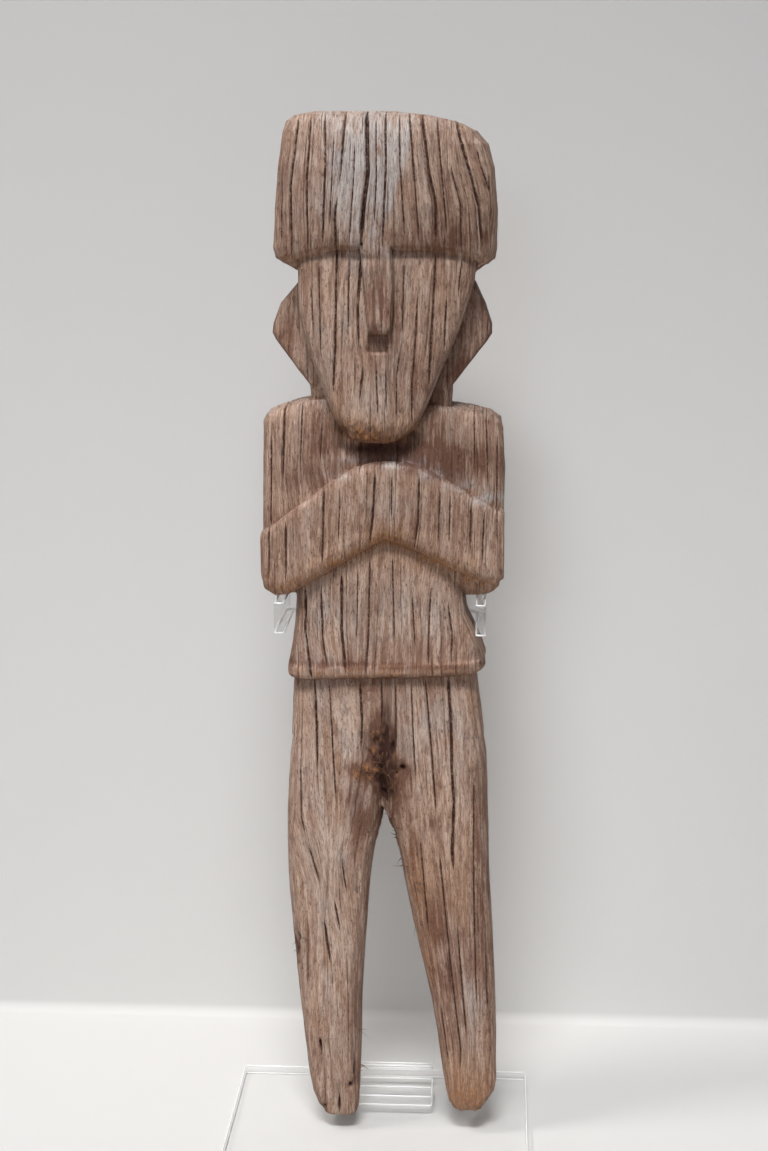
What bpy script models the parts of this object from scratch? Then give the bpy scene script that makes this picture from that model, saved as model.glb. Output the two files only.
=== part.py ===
"""Carved wooden figure held up by a clear acrylic mount.

The figure is one carved piece of wood. It is built as lofted masses, each a run of rounded
cross-sections, which Boolean modifiers join into one solid. The mount is three pieces of clear
sheet: a base plate, an upright bent forward into a foot, and a cradle bent round the waist.
Lengths are in metres, +Z is up and the figure faces -Y.
"""

import math

import bmesh
import bpy
from mathutils import Vector

# Driving sizes of the figure
FIGURE_HEIGHT = 0.500
FIGURE_SIDE_SHIFT = 0.003
FOOT_CLEARANCE = 0.003

# Driving sizes of the mount
PLATE_WIDTH = 0.152
PLATE_DEPTH = 0.102
PLATE_THICKNESS = 0.005
UPRIGHT_WIDTH = 0.054
UPRIGHT_THICKNESS = 0.006
UPRIGHT_BEND_RADIUS = 0.012
UPRIGHT_FOOT_REACH = 0.033
CRADLE_THICKNESS = 0.005
CRADLE_HEIGHT = 0.0155
CRADLE_BEND_RADIUS = 0.009
CRADLE_TIP_OVERHANG = 0.004
EDGE_POLISH = 0.0006
PIECE_GAP = 0.0003
WAIST_CLEARANCE = 0.0006
UPRIGHT_BACK_MARGIN = 0.012

# Smoothness
SECTION_POINTS = 28
BEND_STEPS = 8
ARC_STEPS = 3

# One unit is a 500th of the figure's height, so the carving keeps its proportions
UNIT = FIGURE_HEIGHT / 500.0

# Heights and depths of the carving that the mount also needs, in units
ELBOW_UNDERSIDE = 271.0
ELBOW_FRONT = -25.0
TORSO_BACK = 22.0
WAIST_LEFT = -46.6
WAIST_RIGHT = 43.6
ELBOW_LEFT = -59.2
ELBOW_RIGHT = 56.4


def clear_scene():
    """Remove every object that the scene holds."""
    for item in list(bpy.data.objects):
        bpy.data.objects.remove(item, do_unlink=True)


def make_material(name, colour, roughness, alpha=1.0, transmission=0.0):
    """Return a Principled material with the given plain values."""
    material = bpy.data.materials.new(name)
    material.use_nodes = True
    shader = material.node_tree.nodes["Principled BSDF"]
    shader.inputs["Base Color"].default_value = (*colour, 1.0)
    shader.inputs["Roughness"].default_value = roughness
    shader.inputs["Metallic"].default_value = 0.0
    shader.inputs["Alpha"].default_value = alpha
    shader.inputs["Transmission Weight"].default_value = transmission
    shader.inputs["IOR"].default_value = 1.49
    return material


def signed_power(value, exponent):
    """Return value to the exponent, with the sign of value kept."""
    return math.copysign(abs(value) ** exponent, value)


def section_point(turn, low, high, front, back, squareness, crown, undercut):
    """Return one point of a rounded section, as its place along the span and its depth.

    The section is a superellipse in the box from low to high and from front to back. The crown
    draws the front back towards both ends, by the square of the distance from the middle. The
    undercut draws it back at the low end alone, by the sixth power, which gives a soft bevel.
    """
    along = signed_power(math.cos(turn), 2.0 / squareness)
    through = signed_power(math.sin(turn), 2.0 / squareness)
    span = (low + high) / 2.0 + along * (high - low) / 2.0
    depth = (front + back) / 2.0 - through * (back - front) / 2.0
    if through > 0.0:
        depth += crown * along * along * through
        depth += undercut * max(-along, 0.0) ** 6 * through
    return span, depth


def smooth_rows(stations, rows_between):
    """Return the stations with rows added between them along a smooth curve."""
    rows = []
    last = len(stations) - 1
    for index in range(last):
        before = stations[max(index - 1, 0)]
        start = stations[index]
        end = stations[index + 1]
        after = stations[min(index + 2, last)]
        for step in range(rows_between + 1):
            t = step / (rows_between + 1)
            row = []
            for a, b, c, d in zip(before, start, end, after):
                slope = (c - a) / 2.0 * t + (2 * a - 5 * b + 4 * c - d) / 2.0 * t * t
                row.append(b + slope + (3 * b - a - 3 * c + d) / 2.0 * t ** 3)
            rows.append(tuple(row))
    rows.append(tuple(stations[last]))
    return rows


def rounded_ends(rows, radius):
    """Return the rows with both ends drawn in along a quarter circle of the radius."""
    if radius <= 0.0:
        return rows

    def shrink(row, outward, step):
        angle = math.pi / 2.0 * step / ARC_STEPS
        inset = radius * (1.0 - math.cos(angle)) * 0.92
        place = row[0] + outward * radius * math.sin(angle)
        return (place, row[1] + inset, row[2] - inset, row[3] + inset, row[4] - inset, row[5])

    direction = 1.0 if rows[-1][0] > rows[0][0] else -1.0
    first = (rows[0][0] + direction * radius, *rows[0][1:])
    final = (rows[-1][0] - direction * radius, *rows[-1][1:])
    start = [shrink(first, -direction, step) for step in range(ARC_STEPS, -1, -1)]
    end = [shrink(final, direction, step) for step in range(ARC_STEPS + 1)]
    low = min(first[0], final[0])
    high = max(first[0], final[0])
    middle = [row for row in rows if low < row[0] < high]
    return start + middle + end


def loft(name, stations, squareness=5.0, crown=0.0, rounding=0.0, tilt=0.0,
         rows_between=0, along_x=False, points=SECTION_POINTS, undercut=0.0):
    """Build one carved mass from stations and return its object.

    A station is (place, low, high, front, back) in units, and may end in a bow. The place is a
    height, and low and high are the left and right sides. With along_x, the place is a distance
    to the right, and low and high are heights. The tilt raises a row by that share of the
    distance to the right, and the bow is how far the middle of a row rises above its sides.
    """
    full = [(*station, 0.0)[:6] for station in stations]
    rows = rounded_ends(smooth_rows(full, rows_between), rounding)
    shape = bmesh.new()
    rings = []
    for place, low, high, front, back, bow in rows:
        corners = []
        for index in range(points):
            turn = 2.0 * math.pi * (index + 0.5) / points
            shape_values = (squareness, crown, undercut)
            span, depth = section_point(turn, low, high, front, back, *shape_values)
            if along_x:
                corner = Vector((place, depth, span))
            else:
                rise = bow * (1.0 - ((2.0 * span - low - high) / (high - low)) ** 2)
                corner = Vector((span, depth, place + tilt * span + rise))
            corners.append(shape.verts.new(corner * UNIT))
        rings.append([shape.edges.new((corners[i - 1], corners[i])) for i in range(points)])
    for lower, upper in zip(rings, rings[1:]):
        bmesh.ops.bridge_loops(shape, edges=lower + upper)
    bmesh.ops.contextual_create(shape, geom=rings[0])
    bmesh.ops.contextual_create(shape, geom=rings[-1])
    bmesh.ops.recalc_face_normals(shape, faces=shape.faces)
    for face in shape.faces:
        face.smooth = len(face.verts) == 4
    return object_from(name, shape)


def object_from(name, shape):
    """Return a new object of the name that holds the bmesh, and free the bmesh."""
    mesh = bpy.data.meshes.new(name)
    shape.to_mesh(mesh)
    shape.free()
    item = bpy.data.objects.new(name, mesh)
    bpy.context.scene.collection.objects.link(item)
    return item


def boolean(target, helper, operation):
    """Join or cut the helper on the target with an exact Boolean, and hide the helper."""
    helper.hide_render = True
    helper.display_type = "WIRE"
    helper.parent = target
    modifier = target.modifiers.new(helper.name, "BOOLEAN")
    modifier.operation = operation
    modifier.solver = "EXACT"
    modifier.object = helper


def build_headdress():
    """Return the flat-topped headdress, whose front overhangs the face as a brow."""
    stations = (
        (425.0, -38.0, 40.5, -20.0, 18.0, 0.0),
        (427.4, -42.5, 44.0, -23.0, 19.0, 3.5),
        (429.6, -46.0, 47.0, -25.5, 20.5, 8.0),
        (430.6, -47.6, 48.6, -30.0, 21.0, 8.8),
        (433.2, -50.8, 51.6, -32.6, 21.5, 8.2),
        (437.5, -51.9, 52.5, -33.6, 21.8, 7.0),
        (455.0, -51.1, 52.7, -35.5, 22.0, 3.0),
        (474.0, -49.6, 51.0, -35.5, 21.5, 1.0),
        (485.0, -48.2, 48.0, -34.0, 20.5, 0.5),
        (491.0, -47.2, 42.8, -32.5, 19.5, 0.0),
        (495.5, -45.6, 33.5, -30.5, 18.0, 0.0),
        (498.4, -42.0, 20.0, -27.5, 16.0, 0.0),
        (500.0, -33.0, 4.0, -22.5, 12.0, 0.0),
    )
    return loft("headdress", stations, squareness=5.5, crown=6.5)


def build_face():
    """Return the shield-shaped face, which ends in a chin that overhangs the chest."""
    stations = (
        (443.0, -38.0, 41.0, -27.0, 6.0),
        (436.0, -40.0, 42.8, -28.2, 6.0),
        (424.0, -40.0, 42.2, -28.6, 6.0),
        (410.0, -39.6, 38.6, -29.0, 6.0),
        (396.0, -36.8, 33.6, -29.4, 5.0),
        (380.0, -31.6, 26.6, -29.6, 4.0),
        (365.0, -26.0, 20.6, -29.2, 3.0),
        (355.0, -21.4, 15.8, -28.4, 2.0),
        (350.0, -16.8, 10.8, -27.0, 0.0),
        (347.0, -10.5, 4.5, -24.0, -3.0),
    )
    return loft("face", stations, squareness=7.5, crown=3.5, rows_between=1)


def build_nose():
    """Return the low bar of a nose, which runs out of the brow and tapers to its tip."""
    stations = (
        (447.0, -11.0, 3.4, -33.0, -20.0),
        (437.0, -10.4, 4.2, -32.4, -20.0),
        (425.0, -9.4, 5.2, -31.8, -20.0),
        (412.0, -8.2, 5.0, -32.8, -20.0),
        (404.0, -7.2, 4.5, -34.2, -20.0),
        (400.5, -6.8, 4.2, -33.4, -20.0),
        (399.0, -6.0, 3.4, -31.0, -20.0),
    )
    return loft("nose", stations, squareness=5.0, crown=0.8, points=16)


def build_mouth():
    """Return the cutter of the small mouth recess under the nose."""
    stations = (
        (398.5, -7.4, 2.6, -36.0, -27.6),
        (390.2, -7.8, 2.4, -36.0, -27.2),
    )
    return loft("mouth cut", stations, squareness=8.0, points=16)


def build_ears():
    """Return the plate behind the face, whose two corners stand out as ears."""
    stations = (
        (430.0, -35.0, 37.0, -8.0, 14.0),
        (421.0, -41.6, 42.6, -8.0, 14.0),
        (411.0, -49.8, 47.4, -7.5, 12.0),
        (401.5, -53.4, 50.4, -6.5, 10.0),
        (397.4, -54.0, 50.4, -6.5, 10.0),
        (394.4, -52.6, 48.8, -6.5, 10.0),
        (372.5, -36.2, 32.2, -9.5, 14.0),
        (356.0, -34.4, 31.4, -10.0, 15.0),
    )
    return loft("ears", stations, squareness=9.0)


def build_torso():
    """Return the chest block, from the sloping shoulders down to the elbows' underside."""
    stations = (
        (366.0, -34.0, 8.0, -12.5, 15.5),
        (363.8, -43.0, 26.0, -13.5, 17.0),
        (361.4, -50.4, 42.0, -14.5, 18.5),
        (358.8, -56.6, 51.0, -15.4, 20.0),
        (355.6, -58.2, 55.4, -16.0, 21.0),
        (350.0, -58.4, 56.6, -16.4, 21.6),
        (334.0, -58.8, 57.4, -17.0, TORSO_BACK),
        (300.0, -59.2, 57.0, -17.5, TORSO_BACK),
        (286.0, ELBOW_LEFT, ELBOW_RIGHT, -17.5, TORSO_BACK),
        (279.6, -59.0, 56.2, -16.0, TORSO_BACK),
        (275.4, -58.2, 55.2, -13.0, 21.5),
        (272.4, -56.6, 52.6, -10.5, 20.5),
        (ELBOW_UNDERSIDE, -54.6, 50.0, -9.0, 19.5),
    )
    return loft("figure", stations, squareness=9.0, crown=1.0)


def build_arms():
    """Return the raised band of the folded arms, a chevron that rises to the middle."""
    stations = (
        (-59.0, 280.0, 302.4, -21.5, 4.0),
        (-57.6, 275.0, 303.6, -23.0, 4.0),
        (-52.0, 271.6, 307.6, -24.6, 4.0),
        (-46.0, 272.8, 312.4, -25.6, 4.0),
        (-36.0, 278.4, 320.0, -26.0, 4.0),
        (-28.0, 283.2, 326.0, -26.0, 4.0),
        (-14.0, 291.8, 334.8, -26.0, 4.0),
        (-6.0, 296.6, 337.0, -26.0, 4.0),
        (0.4, 300.0, 337.8, -26.0, 4.0),
        (10.0, 297.0, 337.6, -26.0, 4.0),
        (18.0, 293.4, 335.4, -26.0, 4.0),
        (34.0, 285.2, 327.2, -26.0, 4.0),
        (46.0, 280.4, 319.6, -25.2, 4.0),
        (54.0, 278.4, 314.6, -23.5, 4.0),
        (57.2, 281.0, 313.2, -21.5, 4.0),
    )
    return loft("arms", stations, squareness=9.0, along_x=True, undercut=4.2)


def build_tunic():
    """Return the waist, which flares down to a hem with a low lip."""
    stations = (
        (304.0, -43.0, 37.5, -18.8, 19.5),
        (282.0, -43.6, 37.8, -18.8, 20.0),
        (270.0, -43.6, 38.4, -18.8, 20.5),
        (260.0, -44.0, 39.8, -19.0, 20.8),
        (250.0, -45.2, 44.4, -19.8, 21.0),
        (243.0, -46.4, 47.2, -20.8, 21.4),
        (239.0, -47.0, 48.4, -21.4, 21.6),
        (237.9, -47.4, 48.9, -23.2, 21.8),
        (234.4, -47.6, 49.0, -23.6, 21.8),
        (232.6, -46.4, 47.6, -22.0, 20.6),
    )
    return loft("tunic", stations, squareness=6.0, crown=1.5, tilt=0.045)


def build_hips():
    """Return the block between the hem and the crotch, which the legs run out of."""
    stations = (
        (246.0, -43.6, 43.4, -18.0, 18.0),
        (224.0, -45.0, 45.4, -19.2, 18.6),
        (200.0, -46.4, 48.6, -19.8, 18.8),
        (182.0, -36.0, 38.0, -19.0, 18.0),
        (168.0, -14.0, 17.0, -17.0, 15.0),
        (158.6, -3.6, 5.0, -15.5, 12.0),
    )
    return loft("hips", stations, squareness=5.0, crown=2.0)


def build_left_leg():
    """Return the leg on the left of the picture, which tapers to a rounded foot."""
    stations = (
        (214.0, -43.6, -4.0, -17.6, 16.6),
        (190.0, -47.2, 2.2, -19.8, 18.0),
        (164.0, -48.7, 1.6, -19.8, 17.6),
        (152.0, -48.9, -3.8, -19.6, 17.0),
        (128.0, -48.6, -7.2, -19.4, 15.0),
        (100.0, -46.4, -9.4, -19.2, 11.5),
        (62.0, -42.8, -11.8, -19.0, 7.0),
        (30.0, -39.2, -12.3, -18.8, 2.4),
        (12.0, -36.8, -12.6, -18.8, 0.4),
        (0.0, -31.6, -13.0, -18.8, -0.6),
    )
    return loft("left leg", stations, squareness=3.6, rounding=2.8, rows_between=1)


def build_right_leg():
    """Return the leg on the right of the picture, whose foot ends a little higher."""
    stations = (
        (214.0, 6.0, 45.0, -17.6, 16.6),
        (190.0, 0.0, 49.8, -19.8, 18.0),
        (164.0, -0.4, 51.0, -19.8, 17.6),
        (151.0, 5.4, 51.6, -19.6, 17.0),
        (128.0, 9.4, 52.2, -19.4, 15.0),
        (100.0, 14.8, 54.0, -19.2, 11.5),
        (62.0, 23.8, 55.8, -19.0, 7.0),
        (30.0, 28.8, 56.6, -18.8, 2.4),
        (15.0, 31.0, 56.6, -18.8, 0.4),
        (4.4, 33.4, 51.4, -18.8, -0.6),
    )
    return loft("right leg", stations, squareness=3.6, rounding=2.4, rows_between=1)


def build_figure(wood):
    """Return the figure: the chest block, joined with every other mass, less the mouth."""
    figure = build_torso()
    masses = (
        build_ears(),
        build_headdress(),
        build_face(),
        build_nose(),
        build_tunic(),
        build_arms(),
        build_hips(),
        build_left_leg(),
        build_right_leg(),
    )
    for mass in masses:
        boolean(figure, mass, "UNION")
    boolean(figure, build_mouth(), "DIFFERENCE")
    figure.data.materials.append(wood)
    figure.location = (FIGURE_SIDE_SHIFT, figure_depth_place(), PLATE_THICKNESS + FOOT_CLEARANCE)
    return figure


def figure_depth_place():
    """Return the figure's place in depth, so that its back lies against the cradle."""
    upright_back = PLATE_DEPTH / 2.0 - UPRIGHT_BACK_MARGIN
    cradle_front = upright_back - UPRIGHT_THICKNESS - PIECE_GAP - CRADLE_THICKNESS
    return cradle_front - PIECE_GAP - TORSO_BACK * UNIT


def rounded_path(corners, radius):
    """Return a path through the corners, with an arc of the radius at each inner corner."""
    path = [corners[0]]
    for before, corner, after in zip(corners, corners[1:], corners[2:]):
        inward = (before - corner).normalized()
        outward = (after - corner).normalized()
        centre = corner + (inward + outward) * radius
        for step in range(BEND_STEPS + 1):
            angle = math.pi / 2.0 * step / BEND_STEPS
            path.append(centre - outward * radius * math.cos(angle) - inward * radius * math.sin(angle))
    path.append(corners[-1])
    return path


def bent_sheet(name, path, across, thickness, material):
    """Return a sheet that follows the path, is drawn out by across and thickens inward."""
    shape = bmesh.new()
    verts = [shape.verts.new(point) for point in path]
    edges = [shape.edges.new(pair) for pair in zip(verts, verts[1:])]
    drawn = bmesh.ops.extrude_edge_only(shape, edges=edges)["geom"]
    moved = [item for item in drawn if isinstance(item, bmesh.types.BMVert)]
    bmesh.ops.translate(shape, verts=moved, vec=across)
    sheet = object_from(name, shape)
    wall = sheet.modifiers.new("sheet thickness", "SOLIDIFY")
    wall.thickness = thickness
    wall.offset = -1.0
    wall.use_even_offset = True
    polish_edges(sheet)
    sheet.data.materials.append(material)
    return sheet


def polish_edges(item):
    """Round the long edges of a sheet slightly, as flame polishing leaves them."""
    bevel = item.modifiers.new("polished edges", "BEVEL")
    bevel.width = EDGE_POLISH
    bevel.segments = 2
    bevel.limit_method = "ANGLE"
    bevel.angle_limit = math.radians(50.0)


def build_base_plate(material):
    """Return the flat plate that the mount stands on."""
    shape = bmesh.new()
    bmesh.ops.create_cube(shape, size=1.0)
    size = Vector((PLATE_WIDTH, PLATE_DEPTH, PLATE_THICKNESS))
    bmesh.ops.scale(shape, vec=size, verts=shape.verts)
    plate = object_from("base_plate", shape)
    plate.location = (0.0, 0.0, PLATE_THICKNESS / 2.0)
    polish_edges(plate)
    plate.data.materials.append(material)
    return plate


def cradle_top():
    """Return the height of the cradle's top edge, just under the elbows."""
    return PLATE_THICKNESS + FOOT_CLEARANCE + ELBOW_UNDERSIDE * UNIT - PIECE_GAP


def build_upright(material):
    """Return the upright, bent forward at the bottom into a foot on the plate."""
    back = PLATE_DEPTH / 2.0 - UPRIGHT_BACK_MARGIN
    floor = PLATE_THICKNESS + PIECE_GAP
    left = -UPRIGHT_WIDTH / 2.0
    corners = (
        Vector((left, back, cradle_top())),
        Vector((left, back, floor)),
        Vector((left, back - UPRIGHT_FOOT_REACH, floor)),
    )
    path = rounded_path(corners, UPRIGHT_BEND_RADIUS)
    return bent_sheet("upright", path, Vector((UPRIGHT_WIDTH, 0.0, 0.0)), UPRIGHT_THICKNESS, material)


def build_cradle(material):
    """Return the strip round the waist, whose two prongs carry the elbows."""
    back = PLATE_DEPTH / 2.0 - UPRIGHT_BACK_MARGIN - UPRIGHT_THICKNESS - PIECE_GAP
    tip = figure_depth_place() + ELBOW_FRONT * UNIT - CRADLE_TIP_OVERHANG
    reach = CRADLE_THICKNESS + WAIST_CLEARANCE
    left = FIGURE_SIDE_SHIFT + WAIST_LEFT * UNIT - reach
    right = FIGURE_SIDE_SHIFT + WAIST_RIGHT * UNIT + reach
    bottom = cradle_top() - CRADLE_HEIGHT
    corners = (
        Vector((left, tip, bottom)),
        Vector((left, back, bottom)),
        Vector((right, back, bottom)),
        Vector((right, tip, bottom)),
    )
    path = rounded_path(corners, CRADLE_BEND_RADIUS)
    return bent_sheet("cradle", path, Vector((0.0, 0.0, CRADLE_HEIGHT)), CRADLE_THICKNESS, material)


def main():
    """Build the figure and its mount."""
    clear_scene()
    build_figure(make_material("weathered wood", (0.27, 0.19, 0.15), 0.82))
    clear = (0.93, 0.96, 0.96)
    build_base_plate(make_material("clear acrylic plate", clear, 0.05, 0.35, 1.0))
    build_upright(make_material("clear acrylic upright", clear, 0.05, 0.35, 1.0))
    build_cradle(make_material("clear acrylic cradle", clear, 0.05, 0.35, 1.0))


main()
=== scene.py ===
"""Looks of a weathered wooden figure that stands in a clear acrylic mount.

The CAD nodes of the mount keep their shapes and get a clear finish. The figure's node is
replaced by a finer piece: a voxel copy of the same solid, which numpy then weathers with
cracks, grain ridges and worn places, all as whole arrays.
Carving sizes are in units of a 500th of the figure's height, which is 1 mm here. Across is
along X from the figure's axis, and height is from its lowest foot.
"""

import logging
import math
from dataclasses import dataclass
from enum import Enum

import bmesh
import bpy
import numpy as np
from mathutils import Euler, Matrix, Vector


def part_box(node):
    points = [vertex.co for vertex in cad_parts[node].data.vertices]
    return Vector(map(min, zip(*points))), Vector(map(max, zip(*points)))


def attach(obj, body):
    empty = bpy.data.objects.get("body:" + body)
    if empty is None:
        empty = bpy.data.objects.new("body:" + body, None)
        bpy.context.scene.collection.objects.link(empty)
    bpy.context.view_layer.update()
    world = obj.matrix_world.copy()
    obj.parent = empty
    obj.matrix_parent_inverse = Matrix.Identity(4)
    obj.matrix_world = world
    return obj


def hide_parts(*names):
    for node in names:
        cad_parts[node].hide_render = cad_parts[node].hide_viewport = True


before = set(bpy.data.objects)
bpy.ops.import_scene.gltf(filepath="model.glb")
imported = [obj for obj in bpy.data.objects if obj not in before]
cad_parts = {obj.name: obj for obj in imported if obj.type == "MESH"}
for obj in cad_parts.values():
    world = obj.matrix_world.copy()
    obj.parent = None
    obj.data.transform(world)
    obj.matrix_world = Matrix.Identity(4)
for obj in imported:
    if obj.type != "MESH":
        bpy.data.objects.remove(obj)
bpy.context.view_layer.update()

LOG = logging.getLogger("wooden_figure")
MM = 0.001
BODY = "root"
# What a node's input takes: a socket to link, a number or numbers
Feed = bpy.types.NodeSocket | float | tuple[float, ...]


class Slot(Enum):
    """The record's material slots."""

    WOOD = "weathered_wood"
    ACRYLIC = "clear_acrylic"


class Side(Enum):
    """The side of the block that a stretch of surface belongs to."""

    FRONT = 0
    FLANK = 1
    BACK = 2


# Colours and nodes


def linear(code: str) -> tuple[float, float, float, float]:
    """Turn an sRGB hex colour to linear values with an alpha of one.

    Args:
        code: Six hex digits, such as "a08070".

    Returns:
        Red, green, blue and alpha, each from 0 to 1.
    """
    parts = [int(code[i:i + 2], 16) / 255.0 for i in (0, 2, 4)]
    turned = [v / 12.92 if v <= 0.04045 else ((v + 0.055) / 1.055) ** 2.4 for v in parts]
    return (turned[0], turned[1], turned[2], 1.0)


def feed(node: bpy.types.Node, **inputs: Feed) -> None:
    """Set or link inputs of a node.

    Args:
        node: The node.
        **inputs: Socket names, with _ for a space, or i0, i1 for a socket's number. A value
            that is an output socket is linked, and any other value is set.
    """
    for name, value in inputs.items():
        numbered = name[0] == "i" and name[1:].isdigit()
        socket = node.inputs[int(name[1:])] if numbered else node.inputs[name.replace("_", " ")]
        if isinstance(value, bpy.types.NodeSocket):
            node.id_data.links.new(value, socket)
        else:
            socket.default_value = value


def add_node(tree: bpy.types.NodeTree, kind: str, settings: dict | None = None,
             **inputs: Feed) -> bpy.types.Node:
    """Add a node, set its properties and set or link its inputs.

    Args:
        tree: The node tree that gets the node.
        kind: The node's type name.
        settings: Property names and values.
        **inputs: What feed takes.

    Returns:
        The new node.
    """
    node = tree.nodes.new(kind)
    for name, value in (settings or {}).items():
        setattr(node, name, value)
    feed(node, **inputs)
    return node


def new_material(name: str) -> tuple[bpy.types.Material, bpy.types.NodeTree, bpy.types.Node]:
    """Start a material.

    Args:
        name: What the material is.

    Returns:
        The material, its node tree and its Principled shader.
    """
    material = bpy.data.materials.new(name)
    material.use_nodes = True
    tree = material.node_tree
    return material, tree, tree.nodes["Principled BSDF"]


# Noise and arrays


def smooth_step(low: float, high: float, value: np.ndarray) -> np.ndarray:
    """Return 0 below low, 1 above high and 3t^2 - 2t^3 between them."""
    t = np.clip((value - low) / (high - low), 0.0, 1.0)
    return t * t * (3.0 - 2.0 * t)


def bell(middle: float, half: float, value: np.ndarray) -> np.ndarray:
    """Return e to minus the squared distance from the middle in half widths."""
    return np.exp(-((value - middle) / half) ** 2)


def groove(distance: np.ndarray, half_width: np.ndarray | float) -> np.ndarray:
    """Return 1 - (d / w)^2 within the half width w, and nought beyond it."""
    return np.clip(1.0 - (distance / half_width) ** 2, 0.0, 1.0)


def lattice_noise(place: np.ndarray, seed: int) -> np.ndarray:
    """Return smooth value noise from -1 to 1 at each place.

    Each lattice corner gets a hash of its three whole numbers and the seed. The value at a
    place is the corners' values, blended by 3t^2 - 2t^3 along each axis.

    Args:
        place: N by 3 places, with a lattice step of one.
        seed: Chooses the pattern.

    Returns:
        N values.
    """
    cell = np.floor(place).astype(np.int64)
    t = place - cell
    t = t * t * (3.0 - 2.0 * t)
    total = np.zeros(len(place))
    for corner in range(8):
        step = np.array([corner & 1, (corner >> 1) & 1, corner >> 2])
        point = cell + step
        mixed = point[:, 0] * 73856093 ^ point[:, 1] * 19349663 ^ point[:, 2] * 83492791
        mixed = (mixed ^ (seed * 2654435761)) & 0xFFFFFFFF
        mixed = ((mixed ^ (mixed >> 15)) * 2246822519) & 0xFFFFFFFF
        mixed = ((mixed ^ (mixed >> 13)) * 3266489917) & 0xFFFFFFFF
        mixed = mixed ^ (mixed >> 16)
        share = np.prod(np.where(step == 1, t, 1.0 - t), axis=1)
        total += share * ((mixed & 0xFFFF) / 32767.5 - 1.0)
    return total


def layered_noise(place: np.ndarray, seed: int, layers: int = 3) -> np.ndarray:
    """Return a sum of lattice noises, each twice as fine and half as strong as the last.

    Args:
        place: N by 3 places, with a lattice step of one for the coarsest.
        seed: Chooses the pattern.
        layers: How many noises there are.

    Returns:
        N values, mostly from -1 to 1.
    """
    total = np.zeros(len(place))
    for layer in range(layers):
        total += lattice_noise(place * 2.0 ** layer, seed + layer) / 2.0 ** layer
    return total / 1.75


@dataclass(frozen=True)
class Ripple:
    """Layered noise whose lattice steps along X, Y and Z are sizes on the carving."""

    step: tuple[float, float, float]
    seed: int

    def at(self, place: np.ndarray) -> np.ndarray:
        """Return the noise at each place."""
        return layered_noise(place / self.step, self.seed)


# The noises of the wood's relief and of its stains, from the coarsest to the finest
SWELL = Ripple((24.0, 24.0, 46.0), 47)
HEM_WAVES = Ripple((8.0, 8.0, 4.0), 103)
FOOT_WEAR = Ripple((4.0, 4.0, 6.0), 59)
DENTS = Ripple((3.2, 3.2, 7.0), 53)
CHIPS = Ripple((2.6, 2.6, 3.0), 89)
TORN = Ripple((2.0, 2.0, 3.4), 61)
LUMPS = Ripple((1.7, 1.7, 2.2), 67)
RIDGES = Ripple((1.5, 6.0, 30.0), 41)
CLOTS = Ripple((1.5, 1.5, 2.4), 101)
CRACK_EDGES = Ripple((1.1, 4.0, 2.6), 79)
SPLINTERS = Ripple((0.9, 0.9, 1.4), 97)


# Grain and cracks


@dataclass(frozen=True)
class Cut:
    """A stretch of a crack between two heights, with its depth and half width in units."""

    low: float
    high: float
    depth: float
    half_width: float = 0.55


@dataclass(frozen=True)
class Lane:
    """A line that the grain follows, as (across, height) points from the top down."""

    route: tuple[tuple[float, float], ...]
    cuts: tuple[Cut, ...] = ()


def read_lanes(*rows: tuple[tuple[float, ...], ...]) -> tuple[Lane, ...]:
    """Return the lanes that the rows describe.

    Args:
        *rows: Each has the lane's route as across, height, across, height and so on, and
            then each crack's low end, high end, depth and, if given, half width.

    Returns:
        One lane for each row.
    """
    return tuple(Lane(tuple(zip(route[::2], route[1::2])), tuple(Cut(*cut) for cut in cuts))
                 for route, *cuts in rows)


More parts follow.
